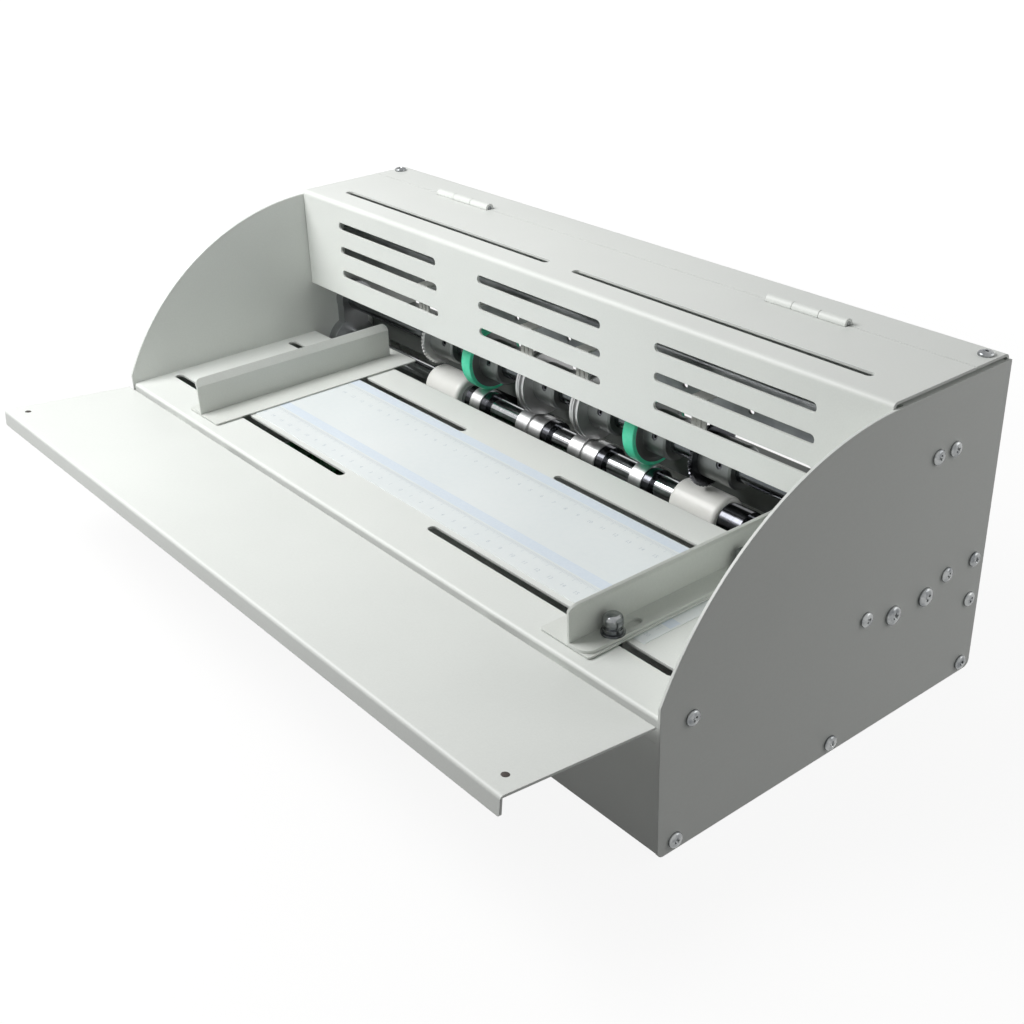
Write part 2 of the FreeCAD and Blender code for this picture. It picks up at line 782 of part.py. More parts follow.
def make_rear_panel():
    """Rear wall with the cutouts of the electrical parts and a screwed tab at each side."""
    body = new_body("rear_panel")
    wide = both("inner_half")
    height = "skirt_bottom - base_lift"
    pad(body, "XY", "base_lift", height, box(*wide, "rear_inner_y", "case_depth"))
    lip = box(*wide, "rear_inner_y - return_flange", "case_depth")
    pad(body, "XY", "skirt_bottom - sheet_wall", "sheet_wall", lip)
    front = "rear_inner_y - rear_tab_depth"
    tabs = []
    for _, sign in SIDES:
        wall = outward(sign, "inner_half - sheet_wall", "inner_half")
        tabs.append(box(*wall, front, "case_depth"))
    pad(body, "XY", "rear_tab_low", "rear_tab_high - rear_tab_low", *tabs)
    drill(body, "YZ", *[disc(y, z, "screw_hole_radius") for y, z in TAB_SCREWS])
    z = "rear_parts_z"
    inlet = box(
        *around("inlet_x", "inlet_width + 2 * cutout_gap"),
        *around(z, "inlet_height + 2 * cutout_gap"),
    )
    switch = box(
        *around("switch_x", "switch_width + 2 * cutout_gap"),
        *around(z, "switch_height + 2 * cutout_gap"),
    )
    dial = disc("dial_x", z, "dial_shaft_radius + cutout_gap")
    reach = both("(inlet_width + inlet_ear) / 2")
    ears = [disc(f"inlet_x + {x}", z, "inlet_hole_radius") for x in reach]
    cut(body, "XZ", "rear_inner_y", "sheet_wall", inlet, switch, dial, *ears)


def make_rear_hood():
    """Fixed strip behind the cover, folded down at the rear to just above the paper's exit."""
    body = new_body("rear_hood")
    front = "hinge_y + seam_gap / 2"
    section = outline(
        (front, "cover_under"),
        ("rear_inner_y", "cover_under"),
        ("rear_inner_y", "hood_bottom"),
        ("case_depth", "hood_bottom"),
        ("case_depth", "cover_top"),
        (front, "cover_top"),
    )
    pad(body, "YZ", "-1 * cover_half", "2 * cover_half", section)
    round_edges(body, "cover_bend", ("0", "case_depth", "cover_top"))
    round_edges(body, "cover_bend - sheet_wall", ("0", "rear_inner_y", "cover_under"))
    notches = [
        box(*around(x, "hinge_length + 2 * knuckle_gap"), "hinge_y", "hinge_y + knuckle_clear")
        for x in both("hinge_x")
    ]
    cut(body, "XY", "cover_under", "sheet_wall", *notches)
    holes = [disc(x, "hood_screw_y", "screw_hole_radius") for x in both("pad_x")]
    cut(body, "XY", "cover_under", "sheet_wall", *holes)


def make_top_pads():
    """Rubber pads on the side panels' top flanges, under the cover and the rear hood."""
    body = new_body("top_pads")
    rests = [disc(x, y, "pad_radius") for x in both("pad_x") for y in ("pad_front_y", "pad_mid_y")]
    washers = [disc(x, "hood_screw_y", "pad_radius") for x in both("pad_x")]
    holes = [disc(x, "hood_screw_y", "screw_hole_radius") for x in both("pad_x")]
    pad(body, "XY", "panel_top", "cover_under - panel_top", *rests, *washers, *holes)


def make_rubber_feet():
    body = new_body("rubber_feet")
    places = [
        disc(x, y, "foot_radius")
        for x in both("case_width / 2 - foot_inset_x")
        for y in ("foot_inset_y", "case_depth - foot_inset_y")
    ]
    pad(body, "XY", "0", "base_lift", *places)


def make_tie_bar():
    """Inverted channel with closed ends, which ties the side panels above the shafts."""
    body = new_body("tie_bar")
    wide = both("inner_half")
    area = box(*wide, "bar_front_y", "bar_rear_y")
    pad(body, "XY", "bar_bottom", "bar_top - bar_bottom", area)
    room = box(
        *both("inner_half - sheet_wall"), "bar_front_y + sheet_wall", "bar_rear_y - sheet_wall"
    )
    cut(body, "XY", "bar_bottom", "bar_top - bar_bottom - sheet_wall", room)
    drill(body, "YZ", *[disc(y, z, "screw_hole_radius") for y, z in BAR_SCREWS])
    row = [
        disc(f"bar_hole_x + {step} * bar_hole_pitch", "bar_hole_z", "bar_hole_radius")
        for step in range(-4, 4)
    ]
    cut(body, "XZ", "bar_front_y", "sheet_wall", *row)
    top = "bar_top"
    round_edges(body, "bend_radius", ("0", "bar_front_y", top), ("0", "bar_rear_y", top))


def make_guard_fingers():
    """One slit finger in front of each tool, hung from the tie bar."""
    body = new_body("guard_fingers")
    section = outline(
        ("guard_front_y", "guard_bottom"),
        ("guard_front_y + guard_wall", "guard_bottom"),
        ("guard_front_y + guard_wall", "guard_top - guard_wall"),
        ("bar_front_y - guard_wall", "guard_top - guard_wall"),
        ("bar_front_y - guard_wall", "guard_top - guard_tab"),
        ("bar_front_y", "guard_top - guard_tab"),
        ("bar_front_y", "guard_top"),
        ("guard_front_y", "guard_top"),
    )
    slits = []
    for tool in TOOLS:
        middle = f"{tool}_x + guard_shift"
        pad(body, "YZ", f"{middle} - guard_width / 2", "guard_width", section)
        strip = "(guard_width - 2 * guard_slit) / 3"
        for x in both(f"({strip} + guard_slit) / 2"):
            span = around(f"{middle} + {x}", "guard_slit")
            slits.append(box(*span, "guard_bottom", "guard_slit_top"))
    cut(body, "XZ", "guard_front_y", "guard_wall", *slits)


# ---------------------------------------------------------------- cover and its hinges


def make_cover():
    """Folded cover with three rows of front slots and one row of slots on top."""
    body = new_body("cover")
    rear = "hinge_y - seam_gap / 2"
    inner = "table_rear_y + sheet_wall"
    section = outline(
        ("table_rear_y", "cover_bottom"),
        (inner, "cover_bottom"),
        (inner, "cover_under"),
        (rear, "cover_under"),
        (rear, "cover_top"),
        ("table_rear_y", "cover_top"),
    )
    pad(body, "YZ", "-1 * cover_half", "2 * cover_half", section)
    round_edges(body, "cover_bend", ("0", "table_rear_y", "cover_top"))
    round_edges(body, "cover_bend - sheet_wall", ("0", inner, "cover_under"))
    rows = []
    for row in range(3):
        height = around(f"cover_row_top - {row} * cover_row_pitch", "cover_slot_width")
        for column in (-1, 0, 1):
            span = around(f"{column} * cover_slot_pitch", "cover_slot_length")
            rows.append(slot(*span, *height))
    cut(body, "XZ", "table_rear_y", "sheet_wall", *rows)
    depth = around("top_slot_y", "cover_slot_width")
    top = [slot(*outward(sign, "top_slot_inner", "top_slot_outer"), *depth) for _, sign in SIDES]
    notches = [
        box(*around(x, "hinge_length + 2 * knuckle_gap"), "hinge_y - knuckle_clear", "hinge_y")
        for x in both("hinge_x")
    ]
    cut(body, "XY", "cover_under", "sheet_wall", *top, *notches)


def make_cover_hinge(label, direction, segments, bore):
    """Leaves of both hinges on one side of the pin, with their own share of the knuckles."""
    body = new_body(label)
    third = "hinge_length / 3"
    near = f"hinge_y + {direction} * knuckle_clear"
    far = f"hinge_y + {direction} * (knuckle_clear + leaf_reach)"
    leaf_y = (near, far) if direction > 0 else (far, near)
    tongue_y = ("hinge_y", near) if direction > 0 else (near, "hinge_y")
    leaves = [box(*around(x, "hinge_length"), *leaf_y) for x in both("hinge_x")]
    pad(body, "XY", "leaf_z", "leaf_wall", *leaves)
    for hinge in both("hinge_x"):
        for segment in segments:
            span = around(f"{hinge} + {segment} * {third}", f"{third} - knuckle_gap")
            pad(body, "XY", "leaf_z", "leaf_wall", box(*span, *tongue_y))
            barrel = disc("hinge_y", "hinge_z", "knuckle_radius")
            pad(body, "YZ", span[0], f"{third} - knuckle_gap", barrel)
    drill(body, "YZ", disc("hinge_y", "hinge_z", bore))


def make_hinge_pins():
    """Pins of the cover's two hinges and of the tray's two hinges."""
    body = new_body("hinge_pins")
    for x in both("hinge_x"):
        pin = disc("hinge_y", "hinge_z", "hinge_pin_radius")
        pad(body, "YZ", f"{x} - hinge_length / 2", "hinge_length", pin)
    for x in both("tray_hinge_x"):
        pin = disc("tray_axis_y", "tray_axis_z", "tray_pin_radius")
        pad(body, "YZ", f"{x} - tray_hinge_length / 2", "tray_hinge_length", pin)


# ---------------------------------------------------------------- front tray


def tray_body(label):
    return new_body(label, y="tray_axis_y", z="tray_axis_z", tilt="tray_tilt")


def make_front_tray():
    """Folding feed tray with a lip turned down along its front edge."""
    body = tray_body("front_tray")
    wide = both("case_width / 2")
    area = box(*wide, "-1 * tray_front", "tray_overhang")
    pad(body, "XY", "tray_seat", "tray_wall", area)
    face = box(*wide, "-1 * lip_drop", "tray_top")
    pad(body, "XZ", "-1 * tray_front", "tray_wall", face)
    round_edges(body, "bend_radius", ("0", "-1 * tray_front", "tray_top"))
    middle = "tray_wall / 2 - tray_front"
    corners = [(x, middle, "-1 * lip_drop") for x in wide]
    round_edges(body, "tray_corner", *corners)
    holes = [
        disc(x, "tray_hole_inset_y - tray_front", "tray_hole_radius")
        for x in both("case_width / 2 - tray_hole_inset_x")
    ]
    cut(body, "XY", "tray_seat", "tray_wall", *holes)


def make_tray_moving_leaves():
    body = tray_body("tray_moving_leaves")
    near = "-1 * tray_seat"
    far = f"{near} - leaf_reach"
    leaf_z = "tray_seat - tray_leaf_wall"
    third = "tray_hinge_length / 3"
    leaves = [box(*around(x, "tray_hinge_length"), far, near) for x in both("tray_hinge_x")]
    pad(body, "XY", leaf_z, "tray_leaf_wall", *leaves)
    for hinge in both("tray_hinge_x"):
        for segment in (-1, 1):
            span = around(f"{hinge} + {segment} * {third}", f"{third} - knuckle_gap")
            pad(body, "XY", leaf_z, "tray_leaf_wall", box(*span, near, "0"))
            knuckle = disc("0", "0", "tray_knuckle_radius")
            pad(body, "YZ", span[0], f"{third} - knuckle_gap", knuckle)
    drill(body, "YZ", disc("0", "0", "tray_pin_radius + fit_gap"))


def make_tray_fixed_leaves():
    body = new_body("tray_fixed_leaves")
    bottom = "tray_axis_z - tray_knuckle_radius"
    top = f"{bottom} + tray_leaf_wall"
    leaf_y = "front_set_back - tray_leaf_wall"
    leaves = [
        box(*around(x, "tray_hinge_length"), f"{bottom} - tray_leaf_drop", top)
        for x in both("tray_hinge_x")
    ]
    pad(body, "XZ", leaf_y, "tray_leaf_wall", *leaves)
    width = "tray_hinge_length / 3 - knuckle_gap"
    for hinge in both("tray_hinge_x"):
        span = around(hinge, width)
        pad(body, "XY", bottom, "tray_leaf_wall", box(*span, "tray_axis_y", leaf_y))
        pad(body, "YZ", span[0], width, disc("tray_axis_y", "tray_axis_z", "tray_knuckle_radius"))
    drill(body, "YZ", disc("tray_axis_y", "tray_axis_z", "tray_pin_radius"))


def make_tray_stops():
    """Two gusset brackets under the open tray, screwed to the front of the case."""
    body = new_body("tray_stops")
    rest = "tray_axis_z + tray_knuckle_radius / cos(tray_tilt)"
    root = f"{rest} + (tray_axis_y - front_set_back) * tan(tray_tilt)"
    tip_y = "front_set_back - stop_reach"
    tip = f"{rest} + (tray_axis_y - ({tip_y})) * tan(tray_tilt)"
    heel = f"{rest} - stop_heel"
    gusset = outline(
        ("front_set_back", f"{root} - stop_root"),
        ("front_set_back", heel),
        ("tray_axis_y", heel),
        ("tray_axis_y", rest),
        (tip_y, tip),
        (tip_y, f"{tip} - 2 * stop_wall"),
    )
    for x in both("stop_x"):
        pad(body, "YZ", f"{x} - stop_wall / 2", "stop_wall", gusset)
    flanges = [box(*around(x, "stop_flange"), f"{root} - stop_root", heel) for x in both("stop_x")]
    pad(body, "XZ", "front_set_back - leaf_wall", "leaf_wall", *flanges)


# ---------------------------------------------------------------- side guides


def make_guide(side, sign):
    """Guide wall with a lip leaning outwards, and a slotted foot outside it."""
    body = new_body(f"guide_{side}", x=f"{sign} * guide_{side}_x", z="guide_foot_z")
    ends = ("guide_front_y", "guide_rear_y")
    lip_x = "guide_lip * sin(guide_lip_angle)"
    lip_z = "guide_bend_height + guide_lip * cos(guide_lip_angle)"
    section = (
        ("0", "0"),
        ("guide_foot", "0"),
        ("guide_foot", "sheet_wall"),
        ("sheet_wall", "sheet_wall"),
        ("sheet_wall", "guide_bend_height - sheet_wall * tan(guide_lip_angle / 2)"),
        (
            f"{lip_x} + sheet_wall * cos(guide_lip_angle)",
            f"{lip_z} - sheet_wall * sin(guide_lip_angle)",
        ),
        (lip_x, lip_z),
        ("0", "guide_bend_height"),
    )
    shape = outline(*[(f"{sign} * ({x})", z) for x, z in section])
    pad(body, "XZ", "guide_front_y", "guide_wall_run", shape)
    edge = f"{sign} * guide_foot"
    middle = "sheet_wall / 2"
    round_edges(body, "guide_corner", *[(edge, y, middle) for y in ends])
    edge = f"{sign} * ({lip_x} + {middle} * cos(guide_lip_angle))"
    middle = f"{lip_z} - {middle} * sin(guide_lip_angle)"
    round_edges(body, "guide_lip_corner", *[(edge, y, middle) for y in ends])
    slots = []
    for y in SLOTS:
        span = around(f"{sign} * stud_reach", "2 * (stud_radius + slide_gap)")
        slots.append(tall_slot(*span, *around(f"{y} + stud_slot_shift", "stud_slot_length")))
    cut(body, "XY", "0", "sheet_wall", *slots)


def make_guide_base(side, sign):
    """Thin plate under the guide, which carries the paper's edge on its inner ledge."""
    body = new_body(f"guide_base_{side}", x=f"{sign} * guide_{side}_x", z="guide_base_z")
    span = outward(sign, "-1 * guide_ledge", "guide_base_foot")
    area = box(*span, "guide_front_y", "guide_base_rear_y")
    holes = [disc(f"{sign} * stud_reach", y, "stud_radius + fit_gap") for y in SLOTS]
    pad(body, "XY", "0", "guide_base_wall", area, *holes)
    middle = "guide_base_wall / 2"
    corners = [(x, y, middle) for x in span for y in ("guide_front_y", "guide_base_rear_y")]
    round_edges(body, "guide_base_corner", *corners)


def make_guide_studs(side, sign):
    """Studs that run through the table slots, with a nut below and a washer above."""
    body = new_body(f"guide_studs_{side}", x=f"{sign} * (guide_{side}_x + stud_reach)")
    bottom = "nut_z - stud_tail"
    top = "clamp_knob_z + clamp_knob_bore - slide_gap"
    pad(body, "XY", bottom, f"{top} - ({bottom})", *[disc("0", y, "stud_radius") for y in SLOTS])
    pad(body, "XY", "nut_z", "nut_height", *[hexagon("0", y, "nut_radius") for y in SLOTS])
    pad(body, "XY", "washer_z", "washer_wall", *[disc("0", y, "washer_radius") for y in SLOTS])


def make_clamp_knob(side, sign, end):
    """Turned knob with a domed head over a waist and a foot, and a blind bore."""
    body = new_body(
        f"clamp_knob_{side}_{end}",
        x=f"{sign} * (guide_{side}_x + stud_reach)",
        y=f"slot_{end}_y",
        z="clamp_knob_z",
    )
    bore = "stud_radius + fit_gap"
    dome = ("clamp_knob_radius - clamp_knob_dome", "clamp_knob_height - clamp_knob_dome")
    half = outline(
        (bore, "0"),
        ("clamp_knob_radius", "0"),
        ("clamp_knob_radius", "clamp_knob_foot"),
        ("clamp_knob_waist", "clamp_knob_foot"),
        ("clamp_knob_waist", "2 * clamp_knob_foot"),
        ("clamp_knob_radius", "2 * clamp_knob_foot"),
        ("clamp_knob_radius", "clamp_knob_height - clamp_knob_dome"),
        ("clamp_knob_radius - clamp_knob_dome", "clamp_knob_height", *dome),
        ("0", "clamp_knob_height"),
        ("0", "clamp_knob_bore"),
        (bore, "clamp_knob_bore"),
    )
    turn(body, "XZ", half, axis="V_Axis")


# ---------------------------------------------------------------- shafts, bearings and tools


def make_shaft(label, y, z):
    body = new_body(label, y=y, z=z)
    shoulder = "shoulder_x - shaft_end_gap"
    tip = "inner_half - shaft_end_gap"
    half = outline(
        (f"-1 * ({tip})", "0"),
        (tip, "0"),
        (tip, "journal_radius"),
        (shoulder, "journal_radius"),
        (shoulder, "shaft_radius"),
        (f"-1 * ({shoulder})", "shaft_radius"),
        (f"-1 * ({shoulder})", "journal_radius"),
        (f"-1 * ({tip})", "journal_radius"),
    )
    turn(body, "XZ", half)


def make_bearing_block(side, sign):
    """Block on the inside of a side panel, which carries both shafts."""
    body = new_body(f"bearing_block_{side}", y="lower_axis_y", z="lower_axis_z")
    start = outward(sign, "shoulder_x", "inner_half")[0]
    upper = ("axis_offset", "upper_axis_z - lower_axis_z")
    web = box(*around("axis_offset / 2", "bearing_web"), "0", upper[1])
    pad(body, "YZ", start, "bearing_width", disc("0", "0", "lower_bearing_radius"))
    pad(body, "YZ", start, "bearing_width", web)
    pad(body, "YZ", start, "bearing_width", disc(*upper, "upper_bearing_radius"))
    bores = [disc("0", "0", "journal_radius + fit_gap"), disc(*upper, "journal_radius + fit_gap")]
    screws = [disc(y, "0", "bearing_screw_radius") for y in both("bearing_screw_spread")]
    drill(body, "YZ", *bores, *screws)


def lower_body(label):
    return new_body(label, y="lower_axis_y", z="lower_axis_z")


def upper_body(label, tilt=None):
    return new_body(label, y="upper_axis_y", z="upper_axis_z", tilt=tilt)


def make_perforating_sleeves():
    body = lower_body("perforating_sleeves")
    bore = "shaft_radius + fit_gap"
    for side, _ in SIDES:
        span = around(f"sleeve_{side}_x", "sleeve_length")
        turn(body, "XZ", barrel(*span, bore, "sleeve_radius", "sleeve_rim"))


def make_feed_rings():
    body = lower_body("feed_rings")
    bore = "shaft_radius + fit_gap"
    for side, _ in SIDES:
        span = around(f"feed_{side}_x", "ring_length")
        turn(body, "XZ", box(*span, bore, "ring_radius"))


def make_creasing_anvils():
    """Anvils with a groove under each creasing wheel's ridge."""
    body = lower_body("creasing_anvils")
    bore = "shaft_radius + fit_gap"
    for side, _ in SIDES:
        x0, x1 = around(f"crease_{side}_x", "anvil_length")
        g0, g1 = around(f"crease_{side}_x", "groove_width")
        half = outline(
            (x0, bore),
            (x1, bore),
            (x1, "ring_radius"),
            (g1, "ring_radius"),
            (g1, "ring_radius - groove_depth"),
            (g0, "ring_radius - groove_depth"),
            (g0, "ring_radius"),
            (x0, "ring_radius"),
        )
        turn(body, "XZ", half)


def make_ring_collars():
    """Dark set collars that hold the rings, the anvils and the right sleeve in place."""
    body = lower_body("ring_collars")
    bore = "shaft_radius + fit_gap"
    starts = [
        "feed_left_x - ring_length / 2 - collar_length",
        "feed_left_x + ring_length / 2",
        "crease_left_x + anvil_length / 2",
        "crease_right_x + anvil_length / 2",
        "feed_right_x + ring_length / 2",
    ]
    for start in starts:
        turn(body, "XZ", box(start, f"{start} + collar_length", bore, "collar_radius"))
    end = "sleeve_right_x + sleeve_length / 2"
    turn(body, "XZ", box(end, f"{end} + end_collar_length", bore, "collar_radius"))


def make_tool_hubs():
    """Hubs of the six upper tools, each with a neck for its tool and a radial grub hole."""
    body = upper_body("tool_hubs", tilt="grub_tilt")
    bore = "shaft_radius + fit_gap"
    necks = {"perf": "hub_neck_radius", "feed": "feed_radius - tyre_wall", "crease": "hub_neck_radius"}
    holes = []
    for tool in TOOLS:
        kind = tool.split("_")[0]
        face = f"{tool}_x - {kind}_width / 2"
        step = f"{tool}_x + {kind}_width / 2"
        end = f"{face} + hub_length"
        half = outline(
            (face, bore),
            (end, bore),
            (end, "hub_radius - hub_chamfer"),
            (f"{end} - hub_chamfer", "hub_radius"),
            (step, "hub_radius"),
            (step, necks[kind]),
            (face, necks[kind]),
        )
        turn(body, "XZ", half)
        holes.append(disc(f"{end} - grub_inset", "0", "grub_radius + fit_gap"))
    cut(body, "XZ", "-1 * hub_radius", "hub_radius", *holes)


def make_grub_screws():
    body = upper_body("grub_screws", tilt="grub_tilt")
    ends = []
    for tool in TOOLS:
        kind = tool.split("_")[0]
        ends.append(f"{tool}_x - {kind}_width / 2 + hub_length - grub_inset")
    length = "hub_radius - grub_sink - shaft_radius - fit_gap"
    level = "grub_sink - hub_radius"
    pad(body, "XZ", level, length, *[disc(x, "0", "grub_radius") for x in ends])
    sockets = [hexagon(x, "0", "grub_radius / 2") for x in ends]
    cut(body, "XZ", level, f"({length}) / 2", *sockets)


def make_feed_tyres():
    body = upper_body("feed_tyres")
    bore = "feed_radius - tyre_wall + fit_gap"
    for side, _ in SIDES:
        span = around(f"feed_{side}_x", "feed_width")
        turn(body, "XZ", barrel(*span, bore, "feed_radius", "tyre_rim"))


def make_creasing_wheels():
    """Wheels with a rim at each side and a creasing ridge between two grooves."""
    body = upper_body("creasing_wheels")
    bore = "hub_neck_radius + fit_gap"
    root = "crease_radius - rim_groove_depth"
    ridge = "crease_radius + ridge_height"
    for side, _ in SIDES:
        middle = f"crease_{side}_x"
        x0, x1 = around(middle, "crease_width")
        r0, r1 = around(middle, "ridge_width")
        half = outline(
            (x0, bore),
            (x1, bore),
            (x1, "crease_radius"),
            (f"{x1} - rim_width", "crease_radius"),
            (f"{x1} - rim_width", root),
            (r1, root),
            (r1, ridge),
            (r0, ridge),
            (r0, root),
            (f"{x0} + rim_width", root),
            (f"{x0} + rim_width", "crease_radius"),
            (x0, "crease_radius"),
        )
        turn(body, "XZ", half)


def make_perforating_wheel(side):
    """Toothed disc, bevelled to a narrow edge on both faces."""
    body = new_body(
        f"perforating_wheel_{side}", x=f"perf_{side}_x", y="upper_axis_y", z="upper_axis_z"
    )
    half = outline(
        ("-1 * perf_width / 2", "hub_neck_radius + fit_gap"),
        ("perf_width / 2", "hub_neck_radius + fit_gap"),
        ("perf_width / 2", "perf_radius - perf_bevel"),
        ("perf_edge / 2", "perf_radius"),
        ("-1 * perf_edge / 2", "perf_radius"),
        ("-1 * perf_width / 2", "perf_radius - perf_bevel"),
    )
    turn(body, "XZ", half)
    pitch = "360 / perf_teeth"
    foot = "perf_radius - perf_tooth_depth"
    mouth = f"perf_radius * tan({pitch} / 2)"
    gap = outline(
        ("0", foot),
        (mouth, "perf_radius + perf_edge"),
        (f"-1 * {mouth}", "perf_radius + perf_edge"),
    )
    notch = body.newObject("PartDesign::Pocket", f"{body.Name}_Notch")
    notch.Profile = new_sketch(body, "YZ", "0", [gap])
    notch.Type = "ThroughAll"
    notch.SideType = "Symmetric"
    doc.recompute()
    ring_of_teeth = body.newObject("PartDesign::PolarPattern", f"{body.Name}_Teeth")
    ring_of_teeth.Originals = [notch]
    axis = next(f for f in body.Origin.OriginFeatures if f.Role == "X_Axis")
    ring_of_teeth.Axis = (axis, [""])
    ring_of_teeth.Angle = 360
    ring_of_teeth.setExpression("Occurrences", cells("perf_teeth"))
    body.Tip = ring_of_teeth
    doc.recompute()


# ---------------------------------------------------------------- gears


def gear_shape(teeth, width, phase):
    """Spur gear about the x axis with involute flanks and a tooth at the phase angle."""
    module = number("gear_module")
    angle = math.radians(number("pressure_angle"))
    pitch_radius = module * teeth / 2
    base_radius = pitch_radius * math.cos(angle)
    root = pitch_radius - 1.25 * module
    tip = pitch_radius + module
    half_pitch = math.pi / (2 * teeth) - number("gear_backlash") / (4 * pitch_radius)

    def half_tooth(radius):
        """Half the angle that a tooth takes at a radius."""
        slope = math.acos(min(1.0, base_radius / radius))
        return half_pitch + (math.tan(angle) - angle) - (math.tan(slope) - slope)

    low = max(root, base_radius)
    radii = [root] if root < base_radius else []
    radii += [low + (tip - low) * share for share in (0.0, 0.35, 0.7, 1.0)]
    points = []
    for tooth in range(int(teeth)):
        middle = phase + 2 * math.pi * tooth / teeth
        sides = [(-half_tooth(max(r, low)), r) for r in radii]
        sides += [(-turn_angle, r) for turn_angle, r in reversed(sides)]
        for offset, radius in sides:
            bearing = middle + offset
            points.append(FreeCAD.Vector(0, radius * math.cos(bearing), radius * math.sin(bearing)))
    wire = Part.makePolygon(points + points[:1])
    return Part.Face(wire).extrude(FreeCAD.Vector(width, 0, 0))


def make_gear(label, teeth, x, y, z, phase, hub=None, bore=None, stem=None, flange=None):
    """Gear as one solid, with a hub and a bore, or a stem and a flange, towards the left."""
    width = number("gear_width")
    shape = gear_shape(number(teeth), width, phase)
    along = FreeCAD.Vector(1, 0, 0)
    for radius, length in (("gear_hub_radius", hub), ("pinion_shaft_radius", stem)):
        if length:
            start = FreeCAD.Vector(-number(length), 0, 0)
            shape = shape.fuse(Part.makeCylinder(number(radius), number(length), start, along))
    if flange:
        start = FreeCAD.Vector(-number("pinion_flange_reach"), 0, 0)
        disc_radius = number("pinion_flange_radius")
        shape = shape.fuse(Part.makeCylinder(disc_radius, number(flange), start, along))
    if bore:
        start = FreeCAD.Vector(-2 * width, 0, 0)
        shape = shape.cut(Part.makeCylinder(number(bore), 4 * width, start, along))
    part = doc.addObject("Part::Feature", label)
    part.Shape = shape.removeSplitter()
    place(part, x, y, z)
    subparts.append(part)


def make_gears():
    """Two gears that couple the shafts, and the motor's pinion with the gear that it drives."""
    bore = "shaft_radius + fit_gap"
    lower = ("lower_axis_y", "lower_axis_z")
    upper = ("upper_axis_y", "upper_axis_z")
    rise = math.atan2(number("upper_axis_z - lower_axis_z"), number("axis_offset"))
    facing_gap = rise + math.pi + math.pi / number("upper_teeth")
    make_gear("lower_gear", "lower_teeth", "sync_gear_x", *lower, rise, bore=bore)
    make_gear(
        "upper_gear", "upper_teeth", "sync_gear_x", *upper, facing_gap, hub="gear_width", bore=bore
    )
    down = math.radians(225)
    facing_gap = down + math.pi + math.pi / number("pinion_teeth")
    make_gear("drive_gear", "drive_teeth", "drive_gear_x", *lower, down, bore=bore)
    make_gear(
        "motor_pinion",
        "pinion_teeth",
        "drive_gear_x",
        "pinion_y",
        "pinion_z",
        facing_gap,
        stem="pinion_flange_reach + bracket_gap + bracket_wall + pinion_seat",
        flange="pinion_flange_length",
    )


# ---------------------------------------------------------------- drive


def make_motor():
    body = new_body("motor", x="gearbox_x - motor_length", y="motor_y", z="motor_z")
    pad(body, "YZ", "0", "motor_length", disc("0", "0", "motor_radius"))
    rim = "motor_radius"
    round_edges(body, "bend_radius", ("0", "0", rim))
    boss = disc("0", "0", "motor_boss_radius")
    pad(body, "YZ", "-1 * motor_boss_length", "motor_boss_length", boss)


def make_gearbox():
    """Housing about the pinion's shaft and the motor's shaft."""
    body = new_body("gearbox", x="gearbox_x", y="pinion_y", z="pinion_z")
    front = "-1 * (motor_forward + gearbox_radius)"
    bottom = "-1 * (motor_drop + gearbox_radius)"
    area = box(front, "gearbox_radius", bottom, "gearbox_radius")
    pad(body, "YZ", "0", "gearbox_length", area)
    middle = "gearbox_length / 2"
    corners = [(middle, y, z) for y in (front, "gearbox_radius") for z in (bottom, "gearbox_radius")]
    round_edges(body, "gearbox_radius - fit_gap", *corners)
    bore = disc("0", "0", "pinion_shaft_radius + fit_gap")
    cut(body, "YZ", "gearbox_length - pinion_seat - slide_gap", "pinion_seat + slide_gap", bore)


def make_motor_bracket():
    """Upright plate beside the gearbox with a foot on the base plate."""
    body = new_body("motor_bracket", x="bracket_x")
    front = "motor_y - gearbox_radius - bracket_margin"
    rear = "pinion_y + gearbox_radius / 2"
    height = "pinion_z + gearbox_radius / 2 - base_top"
    pad(body, "XY", "base_top", height, box("0", "bracket_wall", front, rear))
    pad(body, "XY", "base_top", "bracket_wall", box("-1 * bracket_foot", "bracket_wall", front, rear))
    drill(body, "YZ", disc("pinion_y", "pinion_z", "pinion_shaft_radius + knuckle_gap"))


# ---------------------------------------------------------------- electrical parts


def make_power_inlet():
    """Inlet with a recessed three-pin socket and a screw ear at each side."""
    body = new_body("power_inlet", x="inlet_x", y="case_depth", z="rear_parts_z")
    pad(
        body,
        "XZ",
        "-1 * inlet_depth",
        "inlet_depth",
        box(*both("inlet_width / 2"), *both("inlet_height / 2")),
    )
    plate = box(*both("inlet_width / 2 + inlet_ear"), *both("inlet_height / 2 + inlet_rim"))
    pad(body, "XZ", "0", "bezel_wall", plate)
    low, high = both("inlet_height / 2 - inlet_rim")
    left, right = both("inlet_width / 2 - inlet_rim")
    socket = outline(
        (left, low),
        (right, low),
        (right, f"{high} - inlet_chamfer"),
        (f"{right} - inlet_chamfer", high),
        (f"{left} + inlet_chamfer", high),
        (left, f"{high} - inlet_chamfer"),
    )
    floor = "bezel_wall - inlet_socket_depth"
    cut(body, "XZ", floor, "inlet_socket_depth", socket)
    pins = [
        box(*around(f"{step} * inlet_pin_pitch", "inlet_pin_width"), *around(z, "inlet_pin_height"))
        for step, z in ((-1, "-1 * inlet_rim"), (0, "inlet_rim"), (1, "-1 * inlet_rim"))
    ]
    pad(body, "XZ", floor, "inlet_pin_length", *pins)
    ears = [disc(x, "0", "inlet_hole_radius") for x in both("(inlet_width + inlet_ear) / 2")]
    cut(body, "XZ", "0", "bezel_wall", *ears)


